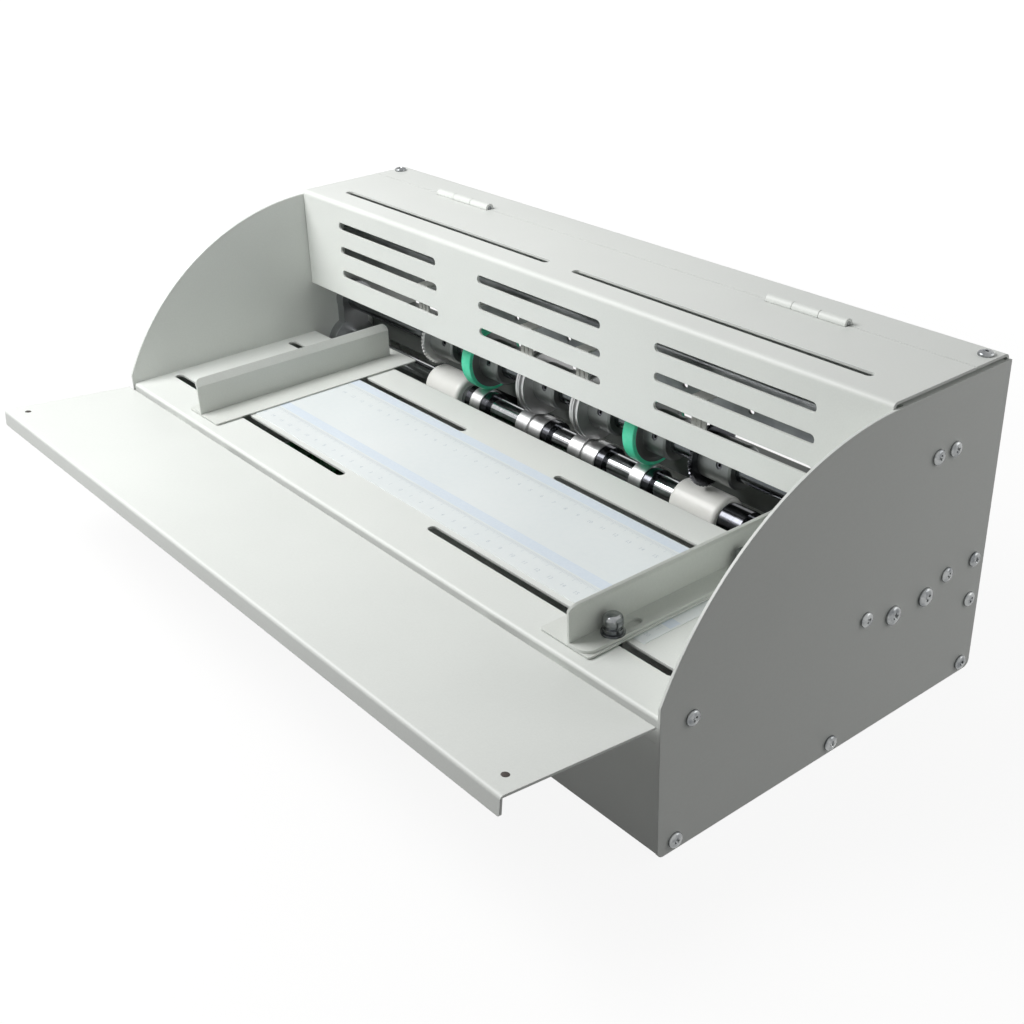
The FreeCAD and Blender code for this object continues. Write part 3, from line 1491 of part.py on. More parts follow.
def make_switch_body():
    body = new_body("switch_body", x="switch_x", y="case_depth", z="rear_parts_z")
    shell = box(*both("switch_width / 2"), *both("switch_height / 2"))
    pad(body, "XZ", "-1 * switch_depth", "switch_depth", shell)
    rim = box(*both("switch_width / 2 + bezel_wall"), *both("switch_height / 2 + bezel_wall"))
    pad(body, "XZ", "0", "bezel_wall", rim)
    room = box(*both("switch_width / 2 - switch_rim"), *both("switch_height / 2 - switch_rim"))
    cut(body, "XZ", "bezel_wall - switch_well", "switch_well", room)
    reach = "switch_height / 2 - switch_rim + rocker_pin_length"
    socket = disc("0", "bezel_wall - rocker_sink", "rocker_pin_radius + fit_gap")
    cut(body, "XY", f"-1 * ({reach})", f"2 * ({reach})", socket)


def make_switch_rocker():
    """Rocker on a pivot pin at each side, with its right half pressed in."""
    body = new_body(
        "switch_rocker",
        x="switch_x",
        y="case_depth + bezel_wall - rocker_sink",
        z="rear_parts_z",
    )
    reach = "switch_width / 2 - switch_rim - rocker_end_gap"
    width = "switch_height - 2 * switch_rim - 2 * rocker_side_gap"
    level = (
        (f"-1 * ({reach})", "-1 * rocker_belly"),
        ("0", "-1 * rocker_belly - rocker_fold"),
        (reach, "-1 * rocker_belly"),
        (reach, "rocker_crown"),
        ("0", "rocker_crown - rocker_fold"),
        (f"-1 * ({reach})", "rocker_crown"),
    )
    pressed = [
        (
            f"({x}) * cos(rocker_angle) + ({y}) * sin(rocker_angle)",
            f"({y}) * cos(rocker_angle) - ({x}) * sin(rocker_angle)",
        )
        for x, y in level
    ]
    pad(body, "XY", f"-1 * ({width}) / 2", width, outline(*pressed))
    length = f"{width} + 2 * rocker_pin_length"
    pad(body, "XY", f"-1 * ({length}) / 2", length, disc("0", "0", "rocker_pin_radius"))


def make_speed_dial_body():
    body = new_body("speed_dial_body", x="dial_x", y="rear_inner_y", z="rear_parts_z")
    pad(body, "XZ", "-1 * dial_body_depth", "dial_body_depth", disc("0", "0", "dial_body_radius"))
    bore = disc("0", "0", "dial_shaft_radius + fit_gap")
    cut(body, "XZ", "-1 * dial_shaft_seat - slide_gap", "dial_shaft_seat + slide_gap", bore)


def make_speed_dial():
    """Tapered knob with a pointer mark, on its own stem."""
    body = new_body("speed_dial", x="dial_x", y="case_depth + dial_gap", z="rear_parts_z")
    stem = "sheet_wall + dial_gap + dial_shaft_seat"
    half = outline(
        (f"-1 * ({stem})", "0"),
        ("dial_length", "0"),
        ("dial_length", "dial_tip_radius"),
        ("0", "dial_radius"),
        ("0", "dial_shaft_radius"),
        (f"-1 * ({stem})", "dial_shaft_radius"),
    )
    turn(body, "YZ", half)
    mark = box(*both("dial_mark_width / 2"), "dial_tip_radius / 2", "dial_radius")
    cut(body, "XZ", "dial_length - dial_mark_width", "dial_mark_width", mark)


def make_control_board():
    """Circuit board on four posts, with a coil, two cans and a heat sink."""
    body = new_body("control_board", x="board_x", y="board_y", z="base_top")
    spots = [
        (x, y)
        for x in ("board_inset", "board_length - board_inset")
        for y in ("board_inset", "board_width - board_inset")
    ]
    pad(body, "XY", "0", "board_rise", *[disc(x, y, "post_radius") for x, y in spots])
    pad(body, "XY", "board_rise", "board_wall", box("0", "board_length", "0", "board_width"))
    top = "board_rise + board_wall"
    middle = "board_width / 2"
    coil = box(*around("part_spacing", "coil_size"), *around(middle, "coil_size"))
    pad(body, "XY", top, "coil_height", coil)
    cans = [
        disc("2 * part_spacing", f"{middle} + {y}", "can_radius")
        for y in both("can_radius + 2 * board_wall")
    ]
    pad(body, "XY", top, "can_height", *cans)
    sink = box(*around("2.7 * part_spacing", "sink_depth"), *around(middle, "sink_width"))
    pad(body, "XY", top, "sink_height", sink)


# ---------------------------------------------------------------- fasteners


def make_case_screws():
    """Pan-head screws through the side panels, and one through each rear pad from above."""
    body = new_body("case_screws")
    sizes = (
        (CASE_SCREWS, "screw_hole_radius", "screw_length", "screw_head_radius", "screw_head_height"),
        (
            BEARING_SCREWS,
            "bearing_screw_radius",
            "bearing_screw_length",
            "bearing_head_radius",
            "bearing_head_height",
        ),
    )
    for screws, hole, length, head, height in sizes:
        for _, sign in SIDES:
            face = "case_width / 2"
            heads = [disc(y, z, head) for y, z in screws]
            shanks = [disc(y, z, f"{hole} - fit_gap") for y, z in screws]
            pad(body, "YZ", outward(sign, face, f"{face} + {height}")[0], height, *heads)
            pad(body, "YZ", outward(sign, f"{face} - {length}", face)[0], length, *shanks)
    spots = [(x, "hood_screw_y") for x in both("pad_x")]
    shanks = [disc(x, y, "screw_hole_radius - fit_gap") for x, y in spots]
    pad(body, "XY", "cover_top - screw_length", "screw_length", *shanks)
    heads = [disc(x, y, "screw_head_radius") for x, y in spots]
    pad(body, "XY", "cover_top", "screw_head_height", *heads)


def build():
    fill_sheet()
    for side, sign in SIDES:
        make_side_panel(side, sign)
        make_guide(side, sign)
        make_guide_base(side, sign)
        make_guide_studs(side, sign)
        make_bearing_block(side, sign)
        make_perforating_wheel(side)
        for end in ("front", "rear"):
            make_clamp_knob(side, sign, end)
    make_base_plate()
    make_front_panel()
    make_feed_table()
    make_exit_deck()
    make_ruler_film()
    make_rear_panel()
    make_rear_hood()
    make_top_pads()
    make_rubber_feet()
    make_tie_bar()
    make_guard_fingers()
    make_cover()
    make_cover_hinge("cover_moving_leaves", -1, (-1, 1), "hinge_pin_radius + fit_gap")
    make_cover_hinge("cover_fixed_leaves", 1, (0,), "hinge_pin_radius")
    make_hinge_pins()
    make_front_tray()
    make_tray_moving_leaves()
    make_tray_fixed_leaves()
    make_tray_stops()
    make_shaft("lower_shaft", "lower_axis_y", "lower_axis_z")
    make_shaft("upper_shaft", "upper_axis_y", "upper_axis_z")
    make_perforating_sleeves()
    make_feed_rings()
    make_creasing_anvils()
    make_ring_collars()
    make_tool_hubs()
    make_grub_screws()
    make_feed_tyres()
    make_creasing_wheels()
    make_gears()
    make_motor()
    make_gearbox()
    make_motor_bracket()
    make_power_inlet()
    make_switch_body()
    make_switch_rocker()
    make_speed_dial_body()
    make_speed_dial()
    make_control_board()
    make_case_screws()
    doc.recompute()


def export():
    """Check every object, then write each sub-part to a file named by its label."""
    os.makedirs("parts", exist_ok=True)
    for item in doc.Objects:
        if "Invalid" in item.State or "Error" in item.State:
            raise RuntimeError(f"{item.Name} is in state {item.State}")
    for part in subparts:
        shape = part.Shape
        if shape.isNull() or not shape.isValid() or not shape.Solids:
            raise RuntimeError(f"{part.Label} has no valid solid")
        shape.exportStep(f"parts/{part.Label}.step")
        print(f"{part.Label}: {len(shape.Solids)} solids, {shape.Volume:.1f} mm3")


build()
export()
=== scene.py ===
import json
import logging
import math
from dataclasses import dataclass, field
from enum import Enum
from typing import Sequence, Union

import bmesh
import bpy
from mathutils import Matrix, Vector
from mathutils.bvhtree import BVHTree


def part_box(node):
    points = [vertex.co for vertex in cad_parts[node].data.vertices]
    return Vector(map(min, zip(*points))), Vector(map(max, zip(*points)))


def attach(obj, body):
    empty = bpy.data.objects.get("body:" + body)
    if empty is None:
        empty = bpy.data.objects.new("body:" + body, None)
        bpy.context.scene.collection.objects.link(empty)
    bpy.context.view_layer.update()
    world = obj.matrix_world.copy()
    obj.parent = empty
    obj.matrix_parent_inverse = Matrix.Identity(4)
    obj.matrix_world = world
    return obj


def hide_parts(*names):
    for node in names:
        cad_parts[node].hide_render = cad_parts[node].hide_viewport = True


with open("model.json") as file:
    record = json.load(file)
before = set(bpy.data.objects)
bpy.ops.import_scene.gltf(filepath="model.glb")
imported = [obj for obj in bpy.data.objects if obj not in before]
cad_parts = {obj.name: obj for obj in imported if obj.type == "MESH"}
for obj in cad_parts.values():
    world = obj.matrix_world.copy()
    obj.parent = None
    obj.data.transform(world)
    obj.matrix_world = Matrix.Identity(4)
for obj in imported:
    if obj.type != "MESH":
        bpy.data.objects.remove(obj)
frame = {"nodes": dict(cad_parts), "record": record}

log = logging.getLogger("creasing_machine")
MM = 0.001
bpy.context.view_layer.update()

NOISE = "ShaderNodeTexNoise"
MATH = "ShaderNodeMath"
MIX = "ShaderNodeMix"
EDGE_SAMPLES = 4  # rays that soften an edge
DOME_STEPS = 8  # rings of a dome
ON_AXIS = 1e-9  # radius in metres below which a ring is one point
WELD = 1e-6  # distance in metres below which two corners are one
PLACES = 5  # decimals of a metre that tell one size from another

Mesh = bmesh.types.BMesh
Socket = bpy.types.NodeSocket
Point = tuple[float, float, float]
Pair = tuple[float, float]
Value = Union[float, int, bool, Sequence[float], Socket]


# ------------------------------------------------------------------ colours and nodes


def linear(code: str) -> tuple[float, float, float, float]:
    """Turns an sRGB hex colour into the linear one that shaders use.

    Args:
        code: A colour such as "#DCDCD6".

    Returns:
        Linear red, green and blue, with an alpha of 1.
    """
    parts = [int(code[i : i + 2], 16) / 255 for i in (1, 3, 5)]
    red, green, blue = (c / 12.92 if c <= 0.04045 else ((c + 0.055) / 1.055) ** 2.4 for c in parts)
    return (red, green, blue, 1.0)


def add_node(
    tree: bpy.types.NodeTree,
    kind: str,
    settings: dict[str, object] | None = None,
    inputs: dict[Union[str, int], Value] | None = None,
) -> bpy.types.Node:
    """Adds a node with its settings, its values and its links.

    Args:
        tree: The tree that gets the node.
        kind: The node's type, such as "ShaderNodeTexNoise".
        settings: The node's own properties by name.
        inputs: Values by socket name or number. An output socket is linked.

    Returns:
        The new node.
    """
    node = tree.nodes.new(kind)
    for name, value in (settings or {}).items():
        setattr(node, name, value)
    for key, value in (inputs or {}).items():
        if isinstance(value, Socket):
            tree.links.new(value, node.inputs[key])
        else:
            node.inputs[key].default_value = value
    return node


@dataclass(frozen=True)
class Surface:
    """A material that is being made.

    Attributes:
        tree: The material's nodes.
        shader: Its main shader.
        place: Where a point lies, in metres.
    """

    tree: bpy.types.NodeTree
    shader: bpy.types.Node
    place: Socket

    def link(self, source: Socket, name: str) -> None:
        """Links a socket to an input of the shader."""
        self.tree.links.new(source, self.shader.inputs[name])

    def texture(self, kind: str, size: float, **inputs: Value) -> bpy.types.Node:
        """Adds a texture whose lumps are a real size.

        Args:
            kind: The texture's type.
            size: Distance between lumps in metres.
            inputs: Its other values by socket name.

        Returns:
            The texture's node.
        """
        values = {"Vector": self.place, "Scale": 1 / size, **inputs}
        return add_node(self.tree, kind, inputs=values)

    def tint(self, factor: Socket, band: Pair, codes: tuple[str, str]) -> None:
        """Colours the surface from one colour to another.

        Args:
            factor: What picks the colour.
            band: The factor at which the first colour ends and the second is reached.
            codes: The two sRGB hex colours.
        """
        ramp = add_node(self.tree, "ShaderNodeValToRGB", inputs={"Fac": factor})
        for element, place, code in zip(ramp.color_ramp.elements, band, codes):
            element.position = place
            element.color = linear(code)
        self.link(ramp.outputs["Color"], "Base Color")

    def dull(self, factor: Socket, roughness: float, swing: Pair) -> None:
        """Makes the surface rougher where a factor is higher.

        Args:
            factor: What picks the roughness, from 0 to 1.
            roughness: The finish's own roughness.
            swing: How far it falls below that at 0 and rises above it at 1.
        """
        limits = {"To Min": roughness - swing[0], "To Max": roughness + swing[1]}
        rough = add_node(self.tree, "ShaderNodeMapRange", inputs={"Value": factor, **limits})
        self.link(rough.outputs["Result"], "Roughness")

    def relief(self, height: Socket, depth: float, edge: float) -> None:
        """Gives the surface a bump over softened edges.

        Args:
            height: The bump's height from 0 to 1.
            depth: Height of a full bump in metres.
            edge: Radius of the softened edges in metres, or 0 for sharp ones.
        """
        inputs: dict[Union[str, int], Value] = {
            "Height": height,
            "Distance": depth,
            "Strength": 1.0,
        }
        if edge:
            rim = add_node(
                self.tree, "ShaderNodeBevel", {"samples": EDGE_SAMPLES}, {"Radius": edge}
            )
            inputs["Normal"] = rim.outputs["Normal"]
        bump = add_node(self.tree, "ShaderNodeBump", inputs=inputs)
        self.link(bump.outputs["Normal"], "Normal")


# ------------------------------------------------------------------ finishes


@dataclass(frozen=True)
class Finish:
    """What every finish has; a subclass adds the pattern that the real surface shows.

    Attributes:
        name: The material's name.
        color: Its own sRGB hex colour.
        second: The colour of its darker places, scuffs or tracks.
        roughness: Its own roughness.
        metallic: 1 for metal and 0 for the rest.
        ior: Its index of refraction. A metal keeps the default one.
        edge: Radius of its softened edges in metres.
        depth: Height of its relief in metres.
        band: The pattern's values between which the colour changes.
        swing: How far the roughness falls and rises.
    """

    name: str
    color: str
    second: str
    roughness: float
    metallic: float = 0.0
    ior: float = 1.5
    edge: float = 0.0
    depth: float = 0.03 * MM
    band: Pair = (0.3, 0.7)
    swing: Pair = (0.08, 0.08)

    def make(self) -> bpy.types.Material:
        """Makes the material.

        Returns:
            The material, with its pattern.
        """
        material = bpy.data.materials.new(self.name)
        material.use_nodes = True
        tree = material.node_tree
        shader = tree.nodes["Principled BSDF"]
        shader.inputs["Metallic"].default_value = self.metallic
        shader.inputs["Roughness"].default_value = self.roughness
        shader.inputs["Base Color"].default_value = linear(self.color)
        if self.metallic < 1.0:
            shader.inputs["IOR"].default_value = self.ior
        place = add_node(tree, "ShaderNodeTexCoord").outputs["Object"]
        self.pattern(Surface(tree, shader, place))
        return material

    def pattern(self, surface: Surface) -> None:
        """Adds the surface's own pattern; every subclass has one."""
        raise NotImplementedError


@dataclass(frozen=True)
class PowderCoat(Finish):
    """Baked polyester powder on folded steel.

    The eye sees a soft even grey with a fine dry grain and slow cloudy changes of depth.
    """

    grain: float = 1.1 * MM
    cloud: float = 90 * MM
    speck: float = 0.35  # how far the grain moves the clouds' tone
    band: Pair = (0.2, 0.8)

    def pattern(self, surface: Surface) -> None:
        """Adds clouds, and a grain drawn at twice its real 0.5 mm so that it shows.

        Args:
            surface: The material that is being made.
        """
        clouds = surface.texture(NOISE, self.cloud, Detail=2.0).outputs["Fac"]
        grain = surface.texture(NOISE, self.grain, Detail=2.0).outputs["Fac"]
        limits = {"To Min": -self.speck, "To Max": self.speck}
        specks = add_node(surface.tree, "ShaderNodeMapRange", inputs={"Value": grain, **limits})
        adding = {"operation": "ADD", "use_clamp": True}
        mixed = add_node(surface.tree, MATH, adding, {0: clouds, 1: specks.outputs["Result"]})
        surface.tint(mixed.outputs[0], self.band, (self.second, self.color))
        surface.dull(grain, self.roughness, self.swing)
        surface.relief(grain, self.depth, self.edge)


@dataclass(frozen=True)
class TurnedMetal(Finish):
    """Metal finished on a lathe or between centres.

    The eye sees hair-fine rings around the shaft's line, which stretch each highlight.
    """

    pitch: float = 0.9 * MM
    stretch: float = 0.04  # how slowly a ring changes on its way round
    smear: float = 14 * MM
    smear_share: float = 0.45  # the smears' part of the tone
    depth: float = 0.012 * MM
    band: Pair = (0.3, 0.65)
    swing: Pair = (0.07, 0.1)

    def pattern(self, surface: Surface) -> None:
        """Adds smears, and rings across the x axis, coarser than the real 0.2 mm feed to show.

        Args:
            surface: The material that is being made.
        """
        scale = (1.0, self.stretch, self.stretch)
        inputs = {"Vector": surface.place, "Scale": scale}
        along = add_node(surface.tree, "ShaderNodeMapping", inputs=inputs).outputs["Vector"]
        rings = surface.texture(NOISE, self.pitch, Vector=along, Detail=4.0).outputs["Fac"]
        smears = surface.texture(NOISE, self.smear, Detail=2.0).outputs["Fac"]
        blend = {"Factor": self.smear_share, "A": rings, "B": smears}
        mixed = add_node(surface.tree, MIX, {"data_type": "FLOAT"}, blend).outputs[0]
        surface.tint(mixed, self.band, (self.second, self.color))
        surface.dull(mixed, self.roughness, self.swing)
        surface.relief(rings, self.depth, self.edge)


@dataclass(frozen=True)
class ZincPlate(Finish):
    """Bright zinc plate on pressed or headed steel.

    The eye sees a slightly blue white metal with faint cloudy patches and small pits.
    """

    patch: float = 5 * MM
    pit: float = 0.8 * MM
    depth: float = 0.01 * MM
    band: Pair = (0.35, 0.6)
    swing: Pair = (0.08, 0.12)

    def pattern(self, surface: Surface) -> None:
        """Adds patches of plate a few millimetres across, and pits between them.

        Args:
            surface: The material that is being made.
        """
        patches = surface.texture(NOISE, self.patch, Detail=3.0).outputs["Fac"]
        pits = surface.texture(NOISE, self.pit, Detail=1.0).outputs["Fac"]
        surface.tint(patches, self.band, (self.second, self.color))
        surface.dull(patches, self.roughness, self.swing)
        surface.relief(pits, self.depth, self.edge)


@dataclass(frozen=True)
class MouldedPolymer(Finish):
    """Injection moulded or cast polymer.

    The eye sees a smooth skin with a broad soft highlight and very slight flow marks.
    """

    flow: float = 12 * MM
    grain: float = 0.8 * MM
    glow: float = 0.0  # how much of the light enters
    glow_reach: float = 1.5 * MM
    depth: float = 0.008 * MM
    swing: Pair = (0.06, 0.06)

    def pattern(self, surface: Surface) -> None:
        """Adds flow marks, a fine skin grain, and light that enters pale polymer.

        Args:
            surface: The material that is being made.
        """
        flow = surface.texture(NOISE, self.flow, Detail=3.0).outputs["Fac"]
        skin = surface.texture(NOISE, self.grain, Detail=2.0).outputs["Fac"]
        surface.tint(flow, self.band, (self.second, self.color))
        surface.dull(skin, self.roughness, self.swing)
        surface.shader.inputs["Subsurface Weight"].default_value = self.glow
        surface.shader.inputs["Subsurface Radius"].default_value = (1.0, 1.0, 1.0)
        surface.shader.inputs["Subsurface Scale"].default_value = self.glow_reach
        surface.relief(skin, self.depth, self.edge)


@dataclass(frozen=True)
class PrintedFilm(Finish):
    """Clear-coated print on thin white polyester, stuck on the table.

    The eye sees a cool white satin sheet, glossier than the table and slightly rippled.
    """

    ripple: float = 60 * MM
    fibre: float = 3 * MM
    fibre_share: float = 0.35  # the fibres' part of the tone
    depth: float = 0.15 * MM
    swing: Pair = (0.04, 0.06)

    def pattern(self, surface: Surface) -> None:
        """Adds ripples under the film, and the print's fibres.

        Args:
            surface: The material that is being made.
        """
        ripples = surface.texture(NOISE, self.ripple, Detail=1.0).outputs["Fac"]
        fibres = surface.texture(NOISE, self.fibre, Detail=3.0).outputs["Fac"]
        blend = {"Factor": self.fibre_share, "A": ripples, "B": fibres}
        mixed = add_node(surface.tree, MIX, {"data_type": "FLOAT"}, blend).outputs[0]
        surface.tint(mixed, self.band, (self.second, self.color))
        surface.dull(fibres, self.roughness, self.swing)
        surface.relief(ripples, self.depth, self.edge)


@dataclass(frozen=True)
class MouldedRubber(Finish):
    """Pressed rubber or cast polyurethane.

    The eye sees a dull deep skin with a fine drag grain and paler scuffs.
    """

    scuff: float = 4 * MM
    grain: float = 0.7 * MM
    glow: float = 0.0  # how much of the light enters
    glow_reach: float = 1.0 * MM
    band: Pair = (0.45, 0.8)

    def pattern(self, surface: Surface) -> None:
        """Adds scuffs and a drag grain.

        Args:
            surface: The material that is being made.
        """
        scuffs = surface.texture(NOISE, self.scuff, Detail=5.0).outputs["Fac"]
        grain = surface.texture(NOISE, self.grain, Detail=2.0).outputs["Fac"]
        surface.tint(scuffs, self.band, (self.color, self.second))
        surface.dull(scuffs, self.roughness, self.swing)
        surface.shader.inputs["Subsurface Weight"].default_value = self.glow
        surface.shader.inputs["Subsurface Scale"].default_value = self.glow_reach
        surface.relief(grain, self.depth, self.edge)


@dataclass(frozen=True)
class DieCast(Finish):
    """Tumbled die-cast or machined aluminium.

    The eye sees a dull pale metal with a pebbled skin.
    """

    pebble: float = 1.6 * MM
    stain: float = 20 * MM
    swing: Pair = (0.08, 0.12)

    def pattern(self, surface: Surface) -> None:
        """Adds pebbles from the tumbling drum, and darker stains.

        Args:
            surface: The material that is being made.
        """
        pebbles = surface.texture("ShaderNodeTexVoronoi", self.pebble).outputs["Distance"]
        stains = surface.texture(NOISE, self.stain, Detail=3.0).outputs["Fac"]
        surface.tint(stains, self.band, (self.second, self.color))
        surface.dull(stains, self.roughness, self.swing)
        surface.relief(pebbles, self.depth, self.edge)


@dataclass(frozen=True)
class CircuitBoard(Finish):
    """Glass fibre board under green lacquer.

    The eye sees a glossy green sheet with paler copper tracks under it.
    """

    track: float = 4 * MM
    reach: float = 12 * MM
    line: float = 0.4 * MM

    def pattern(self, surface: Surface) -> None:
        """Adds tracks as a brick pattern, 4 mm wide with 0.4 mm lines.

        Args:
            surface: The material that is being made.
        """
        inputs = {
            "Vector": surface.place,
            "Scale": 1.0,
            "Brick Width": self.reach,
            "Row Height": self.track,
            "Mortar Size": self.line,
            "Color1": linear(self.color),
            "Color2": linear(self.color),
            "Mortar": linear(self.second),
        }
        tracks = add_node(surface.tree, "ShaderNodeTexBrick", inputs=inputs)
        surface.link(tracks.outputs["Color"], "Base Color")
        surface.relief(tracks.outputs["Fac"], self.depth, self.edge)


@dataclass(frozen=True)
class Ink(Finish):
    """Screen-printed ink.

    The eye sees a thin even colour that breaks up a little at close range.
    """

    patch: float = 1.5 * MM
    depth: float = 0.002 * MM
    band: Pair = (0.35, 0.65)

    def pattern(self, surface: Surface) -> None:
        """Adds uneven ink.

        Args:
            surface: The material that is being made.
        """
        patches = surface.texture(NOISE, self.patch, Detail=2.0).outputs["Fac"]
        surface.tint(patches, self.band, (self.second, self.color))
        surface.relief(patches, self.depth, self.edge)


class Slot(Enum):
    """The record's material slots."""

    SHEET = "powder_coated_sheet"
    GUIDE = "guide_steel"
    FILM = "printed_film"
    SHAFT = "steel_shaft"
    TOOL = "steel_tool"
    DARK = "dark_steel"
    SLEEVE = "white_sleeve"
    TYRE = "green_tyre"
    RUBBER = "black_rubber"
    ZINC = "zinc_steel"
    GEAR = "gear_steel"
    BEARING = "bearing_alloy"
    HUB = "hub_alloy"
    BLACK = "black_plastic"
    RED = "red_plastic"
    MOTOR = "motor_paint"
    GEARBOX = "gearbox_alloy"
    BOARD = "board"
    THIN = "thin_steel"


FINISHES: dict[Slot, Finish] = {
    Slot.SHEET: PowderCoat("polyester_powder_coat", "#E5E8E4", "#DFE2DE", 0.46, edge=0.5 * MM),
    Slot.GUIDE: PowderCoat("powder_coated_guide", "#DEE1DC", "#D6D9D4", 0.4, edge=0.5 * MM),
    Slot.FILM: PrintedFilm("printed_polyester_film", "#EAEEEE", "#E3E9EA", 0.3, ior=1.57),
    Slot.SHAFT: TurnedMetal(
        "ground_chrome_shaft", "#BFC1C3", "#AEB0B2", 0.1, 1.0, pitch=1.6 * MM, depth=0.003 * MM
    ),
    Slot.TOOL: TurnedMetal(
        "turned_tool_steel", "#DADADA", "#C3C4C4", 0.36, 1.0, edge=0.2 * MM, depth=0.006 * MM
    ),
    Slot.DARK: TurnedMetal(
        "blackened_steel", "#64656A", "#4A4B4F", 0.17, 1.0, edge=0.2 * MM, depth=0.004 * MM
    ),
    Slot.SLEEVE: MouldedPolymer(
        "turned_white_acetal", "#F6F6F2", "#F0F0EB", 0.32, ior=1.48, glow=0.15
    ),
    Slot.TYRE: MouldedRubber(
        "cast_green_polyurethane", "#52ECBA", "#7AF2CB", 0.45, edge=0.3 * MM, glow=0.1
    ),
    Slot.RUBBER: MouldedRubber("moulded_black_rubber", "#1E1E1F", "#3A3A3A", 0.72),
    Slot.ZINC: ZincPlate("bright_zinc_plate", "#A2A4A4", "#707376", 0.2, 1.0, edge=0.15 * MM),
    Slot.GEAR: TurnedMetal("hobbed_gear_steel", "#A5A6A7", "#7E8082", 0.36, 1.0),
    Slot.BEARING: DieCast(
        "milled_aluminium_block", "#BEC0C1", "#A3A5A7", 0.36, 1.0, edge=0.3 * MM
    ),
    # Hubs, and the tyre flanges that share this finish, are drawn darker than bare aluminium as
    # painted shade for the dark inside under the cover.
    Slot.HUB: TurnedMetal(
        "painted_shade_aluminium_hub", "#858887", "#7C7F7E", 0.42, 1.0, edge=0.25 * MM, depth=0.002 * MM
    ),
    Slot.BLACK: MouldedPolymer("moulded_black_nylon", "#1D1E1F", "#151617", 0.45, edge=0.3 * MM),
    Slot.RED: MouldedPolymer("moulded_red_abs", "#B5231C", "#A11A15", 0.3, edge=0.3 * MM),
    Slot.MOTOR: PowderCoat(
        "satin_black_enamel", "#2C2D2F", "#232426", 0.35, edge=0.4 * MM, depth=0.01 * MM
    ),
    Slot.GEARBOX: DieCast("die_cast_aluminium", "#ABADAF", "#7C7E80", 0.42, 1.0, edge=0.4 * MM),
    Slot.BOARD: CircuitBoard("lacquered_circuit_board", "#155F33", "#2F8A4E", 0.3),
    Slot.THIN: ZincPlate(
        "rolled_galvanised_steel", "#A9ACAD", "#8E9193", 0.42, 1.0, patch=18 * MM
    ),
}

BLUE_INK = Ink("pale_blue_ink", "#DCE5EE", "#D8E2EC", 0.4)
GREY_INK = Ink("pale_grey_ink", "#CBD3D8", "#C3CCD2", 0.4)
WHITE_INK = Ink("white_pad_ink", "#EDEDE8", "#E4E4DE", 0.45)
BLACK_INK = Ink("black_screen_ink", "#2A2B2C", "#222324", 0.45)
BROWN_RUBBER = MouldedRubber("moulded_brown_rubber", "#2E2723", "#463D37", 0.6)

# Nodes whose finish differs from their slot's.
OWN_FINISH: dict[str, Finish] = {
    "guard_fingers": PowderCoat(
        "white_coated_spring_steel", "#F4F4F0", "#ECECE7", 0.38, edge=0.2 * MM
    ),
    # The exit deck is drawn dark grey as painted shade for the dark inside of the machine behind
    # the tools.
    "exit_deck": PowderCoat("painted_shade_deck_coat", "#858986", "#7B7F7C", 0.5, edge=0.4 * MM),
    # The upper shaft is the same steel as the lower one, drawn darker as painted shade under the
    # cover.
    "upper_shaft": TurnedMetal(
        "painted_shade_upper_shaft", "#6C6F72", "#5E6164", 0.16, 1.0, pitch=1.6 * MM, depth=0.003 * MM
    ),
}


@dataclass
class Wardrobe:
    """Makes each finish once and hands it out."""

    made: dict[str, bpy.types.Material] = field(default_factory=dict)

    def material(self, finish: Finish) -> bpy.types.Material:
        """Returns the finish's material, which is made on first use.

        Args:
            finish: The finish that is asked for.

        Returns:
            Its material.
        """
        if finish.name not in self.made:
            self.made[finish.name] = finish.make()
        return self.made[finish.name]

    def dress_nodes(self) -> None:
        """Gives every CAD node its own finish or that of its slot in the record."""
        finish_of = {slot.value: finish for slot, finish in FINISHES.items()}
        parts = frame["record"]["subparts"]
        for part in parts:
            finish = OWN_FINISH.get(part["node"], finish_of[part["material_slot"]])
            material = self.material(finish)
            materials = frame["nodes"][part["node"]].data.materials
            if not materials:
                materials.append(material)
            for index in range(len(materials)):
                materials[index] = material
        log.info("dressed %d nodes", len(parts))


# ------------------------------------------------------------------ meshes and objects


def add_face(mesh: Mesh, corners: Sequence[Sequence[float]]) -> None:
    """Adds a face with corners of its own."""
    mesh.faces.new([mesh.verts.new(corner) for corner in corners])


def lathe(mesh: Mesh, profile: Sequence[Pair], steps: int) -> None:
    """Spins a closed or open profile about the z axis.

    Args:
        mesh: The mesh that gets the faces.
        profile: Pairs of radius and height, from the bottom up on the outside.
        steps: Number of sides round the axis.
    """
    rings: list[list[bmesh.types.BMVert]] = []
    turns = [2 * math.pi * i / steps for i in range(steps)]
    for radius, height in profile:
        if radius < ON_AXIS:
            rings.append([mesh.verts.new((0, 0, height))])
            continue
        circle = [(radius * math.cos(a), radius * math.sin(a), height) for a in turns]
        rings.append([mesh.verts.new(point) for point in circle])
    for low, high in zip(rings, rings[1:]):
        for i in range(steps):
            j = (i + 1) % steps
            ends = ((low, i), (low, j), (high, j), (high, i))
            corners = list(dict.fromkeys(ring[k % len(ring)] for ring, k in ends))
            if len(corners) > 2:
                mesh.faces.new(corners)


def dome(radius: float, height: float, foot: float = 0.0, power: float = 1.0) -> list[Pair]:
    """Draws the outside of a dome up to just under its top.

    Args:
        radius: The dome's radius.
        height: The height of its top.
        foot: The height at which it starts, as a share of the top's.
        power: 1 for an ellipse, and less for a fuller dome.

    Returns:
        Pairs of radius and height, from the bottom up.
    """
    turns = [i * math.pi / (2 * DOME_STEPS) for i in range(DOME_STEPS)]
    return [
        (radius * math.cos(a) ** power, height * (foot + (1 - foot) * math.sin(a))) for a in turns
    ]


